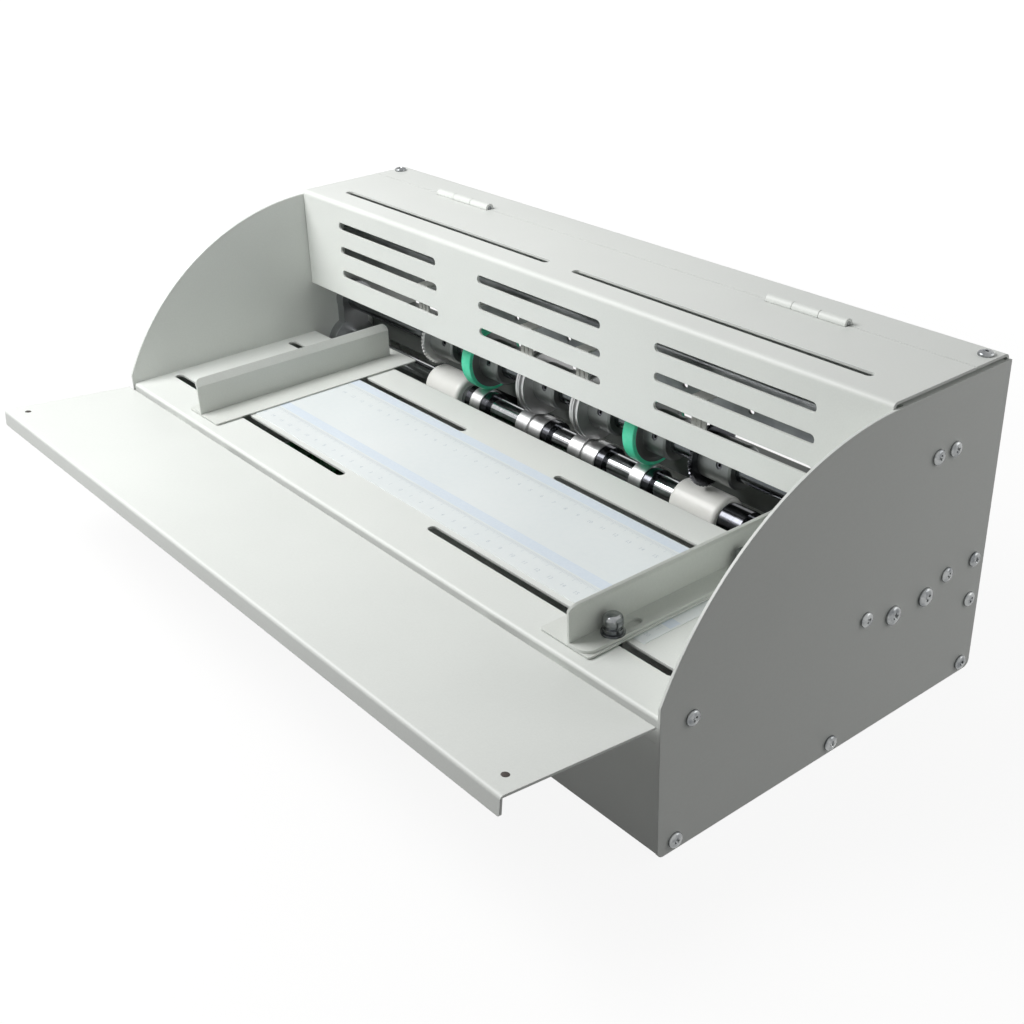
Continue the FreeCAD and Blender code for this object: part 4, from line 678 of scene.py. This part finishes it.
def as_data(name: str, mesh: Mesh) -> bpy.types.Mesh:
    """Turns a mesh that is being built into mesh data.

    Args:
        name: The data's name.
        mesh: The mesh, which is freed.

    Returns:
        The data.
    """
    data = bpy.data.meshes.new(name)
    mesh.to_mesh(data)
    mesh.free()
    return data


def merge(target: Mesh, part: Mesh, place: Matrix) -> None:
    """Moves a part to its place and adds it to a mesh.

    Args:
        target: The mesh that gets the part.
        part: The part, which is freed.
        place: Where the part goes.
    """
    part.transform(place)
    data = as_data("part", part)
    target.from_mesh(data)
    bpy.data.meshes.remove(data)


def add_object(name: str, data: bpy.types.ID) -> bpy.types.Object:
    """Puts an object into the scene.

    Args:
        name: The object's name.
        data: Its mesh, curve, light or camera.

    Returns:
        The object.
    """
    made = bpy.data.objects.new(name, data)
    bpy.context.scene.collection.objects.link(made)
    return made


def applied(helper: bpy.types.Object) -> bpy.types.Mesh:
    """Makes mesh data of a helper object as it shows, with its modifiers.

    Args:
        helper: The object.

    Returns:
        The data.
    """
    bpy.context.view_layer.update()
    shown = helper.evaluated_get(bpy.context.evaluated_depsgraph_get())
    return bpy.data.meshes.new_from_object(shown)


def solids_of(node: str) -> list[tuple[Vector, Vector]]:
    """Finds the separate solids of a CAD node.

    Args:
        node: The node's name.

    Returns:
        Each solid's lowest and highest corner, in the order of the lowest ones.
    """
    mesh = bmesh.new()
    mesh.from_mesh(frame["nodes"][node].data)
    bmesh.ops.remove_doubles(mesh, verts=mesh.verts, dist=WELD)
    waiting = set(mesh.verts)
    found: list[tuple[Vector, Vector]] = []
    while waiting:
        stack = [waiting.pop()]
        low, high = stack[0].co.copy(), stack[0].co.copy()
        while stack:
            vert = stack.pop()
            low = Vector(map(min, low, vert.co))
            high = Vector(map(max, high, vert.co))
            for edge in vert.link_edges:
                other = edge.other_vert(vert)
                if other in waiting:
                    waiting.remove(other)
                    stack.append(other)
        found.append((low, high))
    mesh.free()
    return sorted(found, key=lambda box: [round(value, PLACES) for value in box[0]])


def joint_named(name: str) -> dict:
    """Returns the record's joint of that name."""
    return next(j for j in frame["record"]["behaviour"]["joints"] if j["name"] == name)


@dataclass
class SubAssembly:
    """Pieces that are built together and then dressed.

    A subclass adds its sizes and builds its own pieces.

    Attributes:
        pieces: The pieces, each with its finish.
    """

    pieces: list[tuple[bpy.types.Object, Finish]] = field(default_factory=list, init=False)

    def add_piece(
        self,
        name: str,
        mesh: Mesh,
        body: str,
        slot: Slot,
        finish: Finish,
        sharp: float | None = None,
    ) -> bpy.types.Object:
        """Makes a mesh a named piece that rides on a body.

        Args:
            name: The piece's name.
            mesh: Its mesh, in the machine's frame. It is freed.
            body: The CAD body that carries it.
            slot: The record's slot for the piece. Not used.
            finish: Its finish.
            sharp: Angle from which an edge stays sharp, or None for flat faces.

        Returns:
            The piece.
        """
        data = as_data(name, mesh)
        if sharp is not None:
            data.shade_smooth()
            data.set_sharp_from_angle(angle=sharp)
        piece = add_object(name, data)
        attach(piece, body)
        self.pieces.append((piece, finish))
        log.info("piece %s on %s: %d faces", name, body, len(data.polygons))
        return piece

    def build(self) -> None:
        """Builds the pieces; every subclass has its own."""
        raise NotImplementedError

    def dress(self, wardrobe: Wardrobe) -> None:
        """Gives each piece the material of its finish."""
        for piece, finish in self.pieces:
            piece.data.materials.append(wardrobe.material(finish))


# ------------------------------------------------------------------ fasteners and trim


@dataclass
class CaseScrews(SubAssembly):
    """Pan-head screws with a cross recess, in place of the plain heads of the source.

    Attributes:
        heads: Heights of a small and of a large head.
        large_from: The radius from which a head is a large one.
        shank: The shank's radius over the head's.
        underside: The underside's radius over the head's.
        rim: The rim's height over the head's.
        dome_foot: The height at which the dome starts, over the head's.
        dome_power: How full the dome is, where 1 is an ellipse.
        slot_width: Half the cross's width over the head's radius.
        slot_reach: Half the cross's length over the head's radius.
        slot_depth: The cross's depth over the head's height.
        slot_top: The cutter's top over the head's height.
        slot_floor: Length and width of the cross's floor over those at the cutter's top.
        roll: Turn from one screw's cross to the next one's.
        sharp: Angle from which an edge stays sharp.
        steps: Number of sides round a screw.
    """

    heads: Pair = (2.2 * MM, 2.7 * MM)
    large_from: float = 4.5 * MM
    shank: float = 0.45
    underside: float = 0.96
    rim: float = 0.08
    dome_foot: float = 0.3
    dome_power: float = 0.55
    slot_width: float = 0.17
    slot_reach: float = 0.56
    slot_depth: float = 0.5
    slot_top: float = 1.3
    slot_floor: Pair = (0.3, 0.7)
    roll: float = 0.7
    sharp: float = math.radians(38)
    steps: int = 40

    def build(self) -> None:
        """Sets a screw in each place where the source has one."""
        joined = bmesh.new()
        made: dict[Pair, bpy.types.Mesh] = {}
        for index, (low, high) in enumerate(solids_of("case_screws")):
            size, middle = high - low, (low + high) / 2
            axis = min(range(3), key=lambda k: abs(size[(k + 1) % 3] - size[(k + 2) % 3]))
            radius = size[(axis + 1) % 3] / 2
            outward = 1.0 if middle[axis] > 0 else -1.0
            small, large = self.heads
            height = small if radius < self.large_from else large
            key = (round(radius, PLACES), round(size[axis], PLACES))
            if key not in made:
                made[key] = self.screw(radius, height, size[axis] - height)
            seat = middle.copy()
            seat[axis] = (high[axis] if outward > 0 else low[axis]) - outward * height
            direction = Vector([outward if k == axis else 0.0 for k in range(3)])
            turn = direction.to_track_quat("Z", "Y").to_matrix().to_4x4()
            roll = Matrix.Rotation(self.roll * index, 4, "Z")
            screw = bmesh.new()
            screw.from_mesh(made[key])
            merge(joined, screw, Matrix.Translation(seat) @ turn @ roll)
        finish = FINISHES[Slot.ZINC]
        piece = self.add_piece(
            "cross_head_screws", joined, "case", Slot.ZINC, finish, self.sharp
        )
        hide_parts("case_screws")

    def screw(self, radius: float, height: float, length: float) -> bpy.types.Mesh:
        """Builds one screw along z, with its head's underside at 0.

        Args:
            radius: The head's radius.
            height: The head's height.
            length: The shank's length.

        Returns:
            The screw's mesh.
        """
        shank = self.shank * radius
        profile = [(0, -length), (shank, -length), (shank, 0)]
        profile += [(radius * self.underside, 0), (radius, height * self.rim)]
        profile += [*dome(radius, height, self.dome_foot, self.dome_power), (0, height)]
        mesh = bmesh.new()
        lathe(mesh, profile, self.steps)
        bmesh.ops.recalc_face_normals(mesh, faces=mesh.faces)
        blank = add_object("screw_blank", as_data("screw_blank", mesh))
        cutter = bmesh.new()
        for turn in (0, math.pi / 2):
            self.add_wing(cutter, radius, height, Matrix.Rotation(turn, 4, "Z"))
        cross = add_object("screw_recess", as_data("screw_recess", cutter))
        cut = blank.modifiers.new("recess", "BOOLEAN")
        cut.operation = "DIFFERENCE"
        cut.solver = "EXACT"
        cut.use_self = True
        cut.object = cross
        done = applied(blank)
        for helper in (blank, cross):
            bpy.data.objects.remove(helper)
        return done

    def add_wing(self, mesh: Mesh, radius: float, height: float, spin: Matrix) -> None:
        """Adds one tapered bar of the cross to the cutter.

        Args:
            mesh: The cutter's mesh.
            radius: The head's radius.
            height: The head's height.
            spin: The bar's turn about the screw's axis.
        """
        length, width = radius * self.slot_reach, radius * self.slot_width
        floor, top = height * (1 - self.slot_depth), height * self.slot_top
        rings: list[list[bmesh.types.BMVert]] = []
        for level, (long, wide) in ((floor, self.slot_floor), (top, (1.0, 1.0))):
            x, y = length * long, width * wide
            corners = ((-x, -y, level), (x, -y, level), (x, y, level), (-x, y, level))
            rings.append([mesh.verts.new(spin @ Vector(corner)) for corner in corners])
        low, high = rings
        mesh.faces.new(low[::-1])
        mesh.faces.new(high)
        for i in range(4):
            j = (i + 1) % 4
            mesh.faces.new((low[i], low[j], high[j], high[i]))


@dataclass
class TyreFlanges(SubAssembly):
    """Turned rings that hold each feed tyre from both sides and leave a rim of it free.

    Attributes:
        tyre_wall: Distance from the tyre's rim in to the rings' bore.
        free_rim: How much of the tyre stands out beyond the rings.
        wall: A ring's thickness.
        chamfer: The chamfer on its outer edge.
        sharp: Angle from which an edge stays sharp.
        steps: Number of sides round a ring.
    """

    tyre_wall: float = 4.6 * MM
    free_rim: float = 2.4 * MM
    wall: float = 0.25 * MM
    chamfer: float = 0.12 * MM
    sharp: float = math.radians(30)
    steps: int = 96

    def build(self) -> None:
        """Sets a ring on both sides of each tyre."""
        joined = bmesh.new()
        for low, high in solids_of("feed_tyres"):
            middle, radius = (low + high) / 2, (high.y - low.y) / 2
            outer, inner = radius - self.free_rim, radius - self.tyre_wall
            profile = [(inner, 0), (outer, 0), (outer, self.wall - self.chamfer)]
            profile += [(outer - self.chamfer, self.wall), (inner, self.wall), (inner, 0)]
            for side, face in ((-1, low.x), (1, high.x)):
                ring = bmesh.new()
                lathe(ring, profile, self.steps)
                turn = Matrix.Rotation(side * math.pi / 2, 4, "Y")
                merge(joined, ring, Matrix.Translation((face, middle.y, middle.z)) @ turn)
        bmesh.ops.recalc_face_normals(joined, faces=joined.faces)
        finish = FINISHES[Slot.HUB]
        self.add_piece("tyre_flanges", joined, "upper_roller", Slot.HUB, finish, self.sharp)


@dataclass
class TrayPlugs(SubAssembly):
    """Domed rubber plugs in the two holes of the front tray.

    Attributes:
        inset: A hole's distance from the tray's end and from its front.
        front: The tray's front edge, from its hinge.
        top: The tray's top face, from its hinge.
        tilt: The tray's slope at rest.
        radius: A plug's radius in its hole.
        head_radius: Its head's radius.
        head: Its head's height.
        plate: How deep it goes.
        sharp: Angle from which an edge stays sharp.
        steps: Number of sides round a plug.
    """

    inset: Pair = (10.5 * MM, 11.0 * MM)
    front: float = 84.3 * MM
    top: float = 3.2 * MM
    tilt: float = math.radians(5.8)
    radius: float = 1.75 * MM
    head_radius: float = 1.95 * MM
    head: float = 0.4 * MM
    plate: float = 1.2 * MM
    sharp: float = math.radians(40)
    steps: int = 32

    def build(self) -> None:
        """Sets a plug in each hole."""
        low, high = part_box("front_tray")
        axis = Vector(joint_named("tray_fold")["pos_m"])
        profile = [(0, -self.plate), (self.radius, -self.plate), (self.radius, 0)]
        profile += [*dome(self.head_radius, self.head), (0, self.head)]
        turn = Matrix.Rotation(-self.tilt, 4, "X")
        seat = Matrix.Translation((0, self.inset[1] - self.front, self.top))
        joined = bmesh.new()
        for x in (low[0] + self.inset[0], high[0] - self.inset[0]):
            plug = bmesh.new()
            lathe(plug, profile, self.steps)
            merge(joined, plug, Matrix.Translation((x, axis.y, axis.z)) @ turn @ seat)
        bmesh.ops.recalc_face_normals(joined, faces=joined.faces)
        self.add_piece("tray_plugs", joined, "tray", Slot.RUBBER, BROWN_RUBBER, self.sharp)


# ------------------------------------------------------------------ printing


@dataclass
class RulerPrint(SubAssembly):
    """The centimetre scales on the film: two rows, each with a blue band, ticks and numbers.

    Attributes:
        bands: The front of each band, from the film's front.
        band_width: A band's width.
        margin: Bare film at a band's ends.
        end_gap: Bare film that the last number needs.
        unit: One step of the numbers.
        per_unit: Ticks to a unit.
        tick_drop: Gap between a band and its ticks.
        ticks: Lengths of a tick for 1, 5 and 10 mm.
        tick_width: A tick's width.
        number_drop: Gap between a band and the tops of its numbers.
        number_size: The size of the type.
        number_height: A number's height over the size of the type.
        number_steps: Steps of a curve in a number.
        lift: The print's height over the film.
    """

    bands: Pair = (18 * MM, 72 * MM)
    band_width: float = 7 * MM
    margin: float = 1 * MM
    end_gap: float = 4 * MM
    unit: float = 10 * MM
    per_unit: int = 10
    tick_drop: float = 1 * MM
    ticks: tuple[float, float, float] = (2.2 * MM, 3.2 * MM, 4.4 * MM)
    tick_width: float = 0.22 * MM
    number_drop: float = 10 * MM
    number_size: float = 3.6 * MM
    number_height: float = 0.7
    number_steps: int = 2
    lift: float = 0.02 * MM

    def build(self) -> None:
        """Builds the bands, the ticks and the numbers."""
        low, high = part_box("ruler_film")
        level = high[2] + self.lift
        half = int((high[0] - self.end_gap) / self.unit)
        steps = self.per_unit * half
        bands, marks = bmesh.new(), bmesh.new()
        for start in self.bands:
            front = low[1] + start
            ends = (low[0] + self.margin, high[0] - self.margin)
            self.add_patch(bands, ends, (front, front + self.band_width), level)
            for step in range(-steps, steps + 1):
                kind = sum(step % (self.per_unit // part) == 0 for part in (1, 2))
                x, y = step * self.unit / self.per_unit, front - self.tick_drop
                sides = (x - self.tick_width / 2, x + self.tick_width / 2)
                self.add_patch(marks, sides, (y - self.ticks[kind], y), level)
            for number in range(-half, half + 1):
                top = Vector((number * self.unit, front - self.number_drop, level))
                self.add_number(marks, abs(number), top)
        self.add_piece("ruler_bands", bands, "case", Slot.FILM, BLUE_INK)
        self.add_piece("ruler_scales", marks, "case", Slot.FILM, GREY_INK)

    def add_patch(self, mesh: Mesh, across: Pair, along: Pair, level: float) -> None:
        """Adds a flat printed rectangle.

        Args:
            mesh: The mesh that gets it.
            across: Its left and right side.
            along: Its front and back side.
            level: Its height.
        """
        (left, right), (front, back) = across, along
        corners = ((left, front), (right, front), (right, back), (left, back))
        add_face(mesh, [(x, y, level) for x, y in corners])

    def add_number(self, mesh: Mesh, number: int, top: Vector) -> None:
        """Adds a printed number.

        Args:
            mesh: The mesh that gets the number's faces.
            number: The number.
            top: The middle of its top.
        """
        curve = bpy.data.curves.new("figure", "FONT")
        curve.body = str(number)
        curve.size = self.number_size
        curve.align_x = "CENTER"
        curve.resolution_u = self.number_steps
        helper = add_object("figure", curve)
        data = applied(helper)
        foot = top - Vector((0, self.number_size * self.number_height, 0))
        data.transform(Matrix.Translation(foot))
        mesh.from_mesh(data)
        bpy.data.objects.remove(helper)
        bpy.data.meshes.remove(data)
        bpy.data.curves.remove(curve)


@dataclass
class ControlMarks(SubAssembly):
    """Ticks round the speed knob and the two usual symbols on the power rocker.

    Attributes:
        bar: Width and height of the sign for on.
        ring: Inner and outer radius of the sign for off.
        ring_steps: Number of sides round that ring.
        symbol_reach: A sign's distance from the middle over the rocker's length.
        scale_radius: The ticks' inner radius.
        tick: A tick's length.
        tick_width: A tick's width.
        long_tick: A long tick's length over that of the others.
        long_every: Steps from one long tick to the next.
        count: Number of ticks.
        lift: The print's height over what carries it.
        start: How far off a line that looks for the rocker's face starts.
    """

    bar: Pair = (0.7 * MM, 3.4 * MM)
    ring: Pair = (1.3 * MM, 1.9 * MM)
    ring_steps: int = 36
    symbol_reach: float = 0.27
    scale_radius: float = 11.5 * MM
    tick: float = 2.0 * MM
    tick_width: float = 0.5 * MM
    long_tick: float = 1.4
    long_every: int = 5
    count: int = 11
    lift: float = 0.03 * MM
    start: float = 10 * MM

    def build(self) -> None:
        """Builds the printed marks."""
        self.build_scale()
        self.build_signs()

    def build_scale(self) -> None:
        """Prints the ticks round the knob, over the joint's whole travel."""
        low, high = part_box("speed_dial")
        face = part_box("rear_panel")[1][1] + self.lift
        middle = Vector(((low[0] + high[0]) / 2, face, (low[2] + high[2]) / 2))
        joint = joint_named("speed_turn")
        first, last = (math.radians(limit) for limit in joint["range_deg"])
        mesh = bmesh.new()
        for index in range(self.count):
            angle = first + (last - first) * index / (self.count - 1)
            turn = Matrix.Rotation(angle, 3, Vector(joint["axis"]))
            along = turn @ Vector((0, 0, 1))
            across = turn @ Vector((1, 0, 0)) * self.tick_width / 2
            length = self.tick * (self.long_tick if index % self.long_every == 0 else 1.0)
            near = middle + along * self.scale_radius
            far = middle + along * (self.scale_radius + length)
            add_face(mesh, (near - across, near + across, far + across, far - across))
        self.add_piece("speed_scale", mesh, "case", Slot.SHEET, BLACK_INK)

    def build_signs(self) -> None:
        """Prints the on bar and the off ring on the rocker, laid on its sloping faces."""
        rocker = frame["nodes"]["switch_rocker"].data
        faces = [face.vertices for face in rocker.polygons]
        tree = BVHTree.FromPolygons([vert.co for vert in rocker.vertices], faces)
        low, high = (Vector(corner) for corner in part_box("switch_rocker"))
        middle, reach = (low + high) / 2, (high.x - low.x) * self.symbol_reach
        half, tall = self.bar[0] / 2, self.bar[1] / 2
        bar = [(-half, -tall), (half, -tall), (half, tall), (-half, tall)]
        turns = [2 * math.pi * i / self.ring_steps for i in range(self.ring_steps + 1)]
        inner, outer = ([(r * math.cos(a), r * math.sin(a)) for a in turns] for r in self.ring)
        signs = [[(reach + x, z) for x, z in bar]]
        for i in range(self.ring_steps):
            corners = (inner[i], inner[i + 1], outer[i + 1], outer[i])
            signs.append([(x - reach, z) for x, z in corners])
        mesh = bmesh.new()
        for sign in signs:
            starts = [(middle.x + x, high.y + self.start, middle.z + z) for x, z in sign]
            hits = [tree.ray_cast(Vector(start), Vector((0, -1, 0)))[0] for start in starts]
            add_face(mesh, [hit + Vector((0, self.lift, 0)) for hit in hits])
        self.add_piece("rocker_symbols", mesh, "rocker", Slot.RED, WHITE_INK)


# ------------------------------------------------------------------ light, floor and camera


@dataclass(frozen=True)
class Lamp:
    """A square soft lamp: its name, its place, its size in metres and its power in watts."""

    name: str
    place: Point
    size: float
    power: float


@dataclass
class Studio:
    """Plain soft light, a floor that shows pale and a white surround.

    Attributes:
        lamps: The lamps.
        target: The point that they look at.
        sky: The surround's strength as a light; it shows at a strength of 1.
        floor_half: Half the floor's width.
        floor_cells: Number of its cells on a side.
        floor_color: Its colour under the lamps, which carries the shadow.
        floor_roughness: Its roughness.
        floor_lift: The light that is added to what it shows, near and far.
        floor_reach: The distances for near and far.
    """

    lamps: tuple[Lamp, ...] = (
        Lamp("key_lamp", (-0.36, -0.42, 0.78), 0.6, 9.25),
        Lamp("fill_lamp", (0.95, 0.85, 0.6), 0.8, 3.1),
    )
    target: Point = (0, 0, 0.09)
    sky: float = 0.1
    floor_half: float = 6.0
    floor_cells: int = 8
    floor_color: str = "#4A4A49"
    floor_roughness: float = 0.8
    floor_lift: Pair = (0.9, 0.99)
    floor_reach: Pair = (0.45, 1.2)

    def build(self) -> None:
        """Builds the surround, the lamps and the floor."""
        self.build_surround()
        for lamp in self.lamps:
            self.hang(lamp)
        self.lay_floor()

    def seen(self, tree: bpy.types.NodeTree) -> Socket:
        """Finds the rays that see a thing straight, in gloss or through glass.

        Args:
            tree: The tree that gets the nodes.

        Returns:
            A socket that is 1 for such a ray and 0 for the rest.
        """
        path = add_node(tree, "ShaderNodeLightPath").outputs
        seen = path["Is Camera Ray"]
        for ray in ("Is Glossy Ray", "Is Transmission Ray"):
            either = add_node(tree, MATH, {"operation": "MAXIMUM"}, {0: seen, 1: path[ray]})
            seen = either.outputs[0]
        return seen

    def build_surround(self) -> None:
        """Makes a surround that is white to look at and lights the object at a plain level."""
        world = bpy.data.worlds.new("white_surround")
        world.use_nodes = True
        tree = world.node_tree
        background = tree.nodes["Background"]
        background.inputs["Color"].default_value = (1, 1, 1, 1)
        inputs = {"Value": self.seen(tree), "To Min": self.sky, "To Max": 1.0}
        strength = add_node(tree, "ShaderNodeMapRange", inputs=inputs)
        tree.links.new(strength.outputs["Result"], background.inputs["Strength"])
        bpy.context.scene.world = world

    def hang(self, lamp: Lamp) -> None:
        """Adds a lamp that looks at the target.

        Args:
            lamp: The lamp.
        """
        data = bpy.data.lights.new(lamp.name, "AREA")
        data.size = lamp.size
        data.energy = lamp.power
        hung = add_object(lamp.name, data)
        hung.location = lamp.place
        aim = Vector(self.target) - Vector(lamp.place)
        hung.rotation_euler = aim.to_track_quat("-Z", "Y").to_euler()

    def lay_floor(self) -> None:
        """Lays the floor, which keeps the machine's shadow and ends in white."""
        mesh = bmesh.new()
        cells = {"x_segments": self.floor_cells, "y_segments": self.floor_cells}
        bmesh.ops.create_grid(mesh, size=self.floor_half, **cells)
        floor = add_object("floor", as_data("floor", mesh))
        floor.data.materials.append(self.floor_paint())

    def floor_paint(self) -> bpy.types.Material:
        """Makes the floor's material, which is lit from within where a ray sees it.

        Returns:
            The material.
        """
        material = bpy.data.materials.new("pale_painted_floor")
        material.use_nodes = True
        tree = material.node_tree
        shader = tree.nodes["Principled BSDF"]
        shader.inputs["Base Color"].default_value = linear(self.floor_color)
        shader.inputs["Roughness"].default_value = self.floor_roughness
        shader.inputs["Emission Color"].default_value = (1, 1, 1, 1)
        place = add_node(tree, "ShaderNodeTexCoord").outputs["Object"]
        reach = add_node(tree, "ShaderNodeVectorMath", {"operation": "LENGTH"}, {0: place})
        (near, far), (low, high) = self.floor_reach, self.floor_lift
        limits = {"From Min": near, "From Max": far, "To Min": low, "To Max": high}
        inputs = {"Value": reach.outputs["Value"], **limits}
        pale = add_node(tree, "ShaderNodeMapRange", inputs=inputs).outputs["Result"]
        lift = add_node(tree, MATH, {"operation": "MULTIPLY"}, {0: pale, 1: self.seen(tree)})
        tree.links.new(lift.outputs[0], shader.inputs["Emission Strength"])
        return material


@dataclass
class Viewpoint:
    """The camera, which looks down on the feed side from the right.

    Attributes:
        place: Where it stands.
        right: The direction to its right.
        down: The direction below it.
        forward: The direction that it looks in.
        lens: Its focal length in millimetres.
        sensor: Its sensor's width in millimetres.
        nearest: The nearest distance that it sees, in metres.
    """

    place: Point = (0.59865, -0.428054, 0.44269)
    right: Point = (0.6311170, 0.7750941, -0.0303390)
    down: Point = (0.3489143, -0.3185996, -0.8813360)
    forward: Point = (-0.6927843, 0.5456404, -0.4715150)
    lens: float = 49.71
    sensor: float = 36.0
    nearest: float = 0.01

    def build(self) -> None:
        """Builds the camera and makes it the scene's own."""
        data = bpy.data.cameras.new("viewpoint")
        data.sensor_width = self.sensor
        data.lens = self.lens
        data.clip_start = self.nearest
        camera = add_object("viewpoint", data)
        axes = (Vector(self.right), -Vector(self.down), -Vector(self.forward))
        turn = Matrix(axes).transposed().to_4x4()
        camera.matrix_world = Matrix.Translation(self.place) @ turn
        bpy.context.scene.camera = camera


def main() -> None:
    """Dresses the machine piece by piece, then sets the light and the camera."""
    logging.basicConfig(level=logging.INFO, format="%(message)s")
    wardrobe = Wardrobe()
    wardrobe.dress_nodes()
    for assembly in (CaseScrews(), TyreFlanges(), TrayPlugs(), RulerPrint(), ControlMarks()):
        assembly.build()
        assembly.dress(wardrobe)
        log.info("built and dressed %s", type(assembly).__name__)
    Studio().build()
    Viewpoint().build()
    bpy.context.scene.view_settings.view_transform = "Standard"


if __name__ == "__main__":
    main()
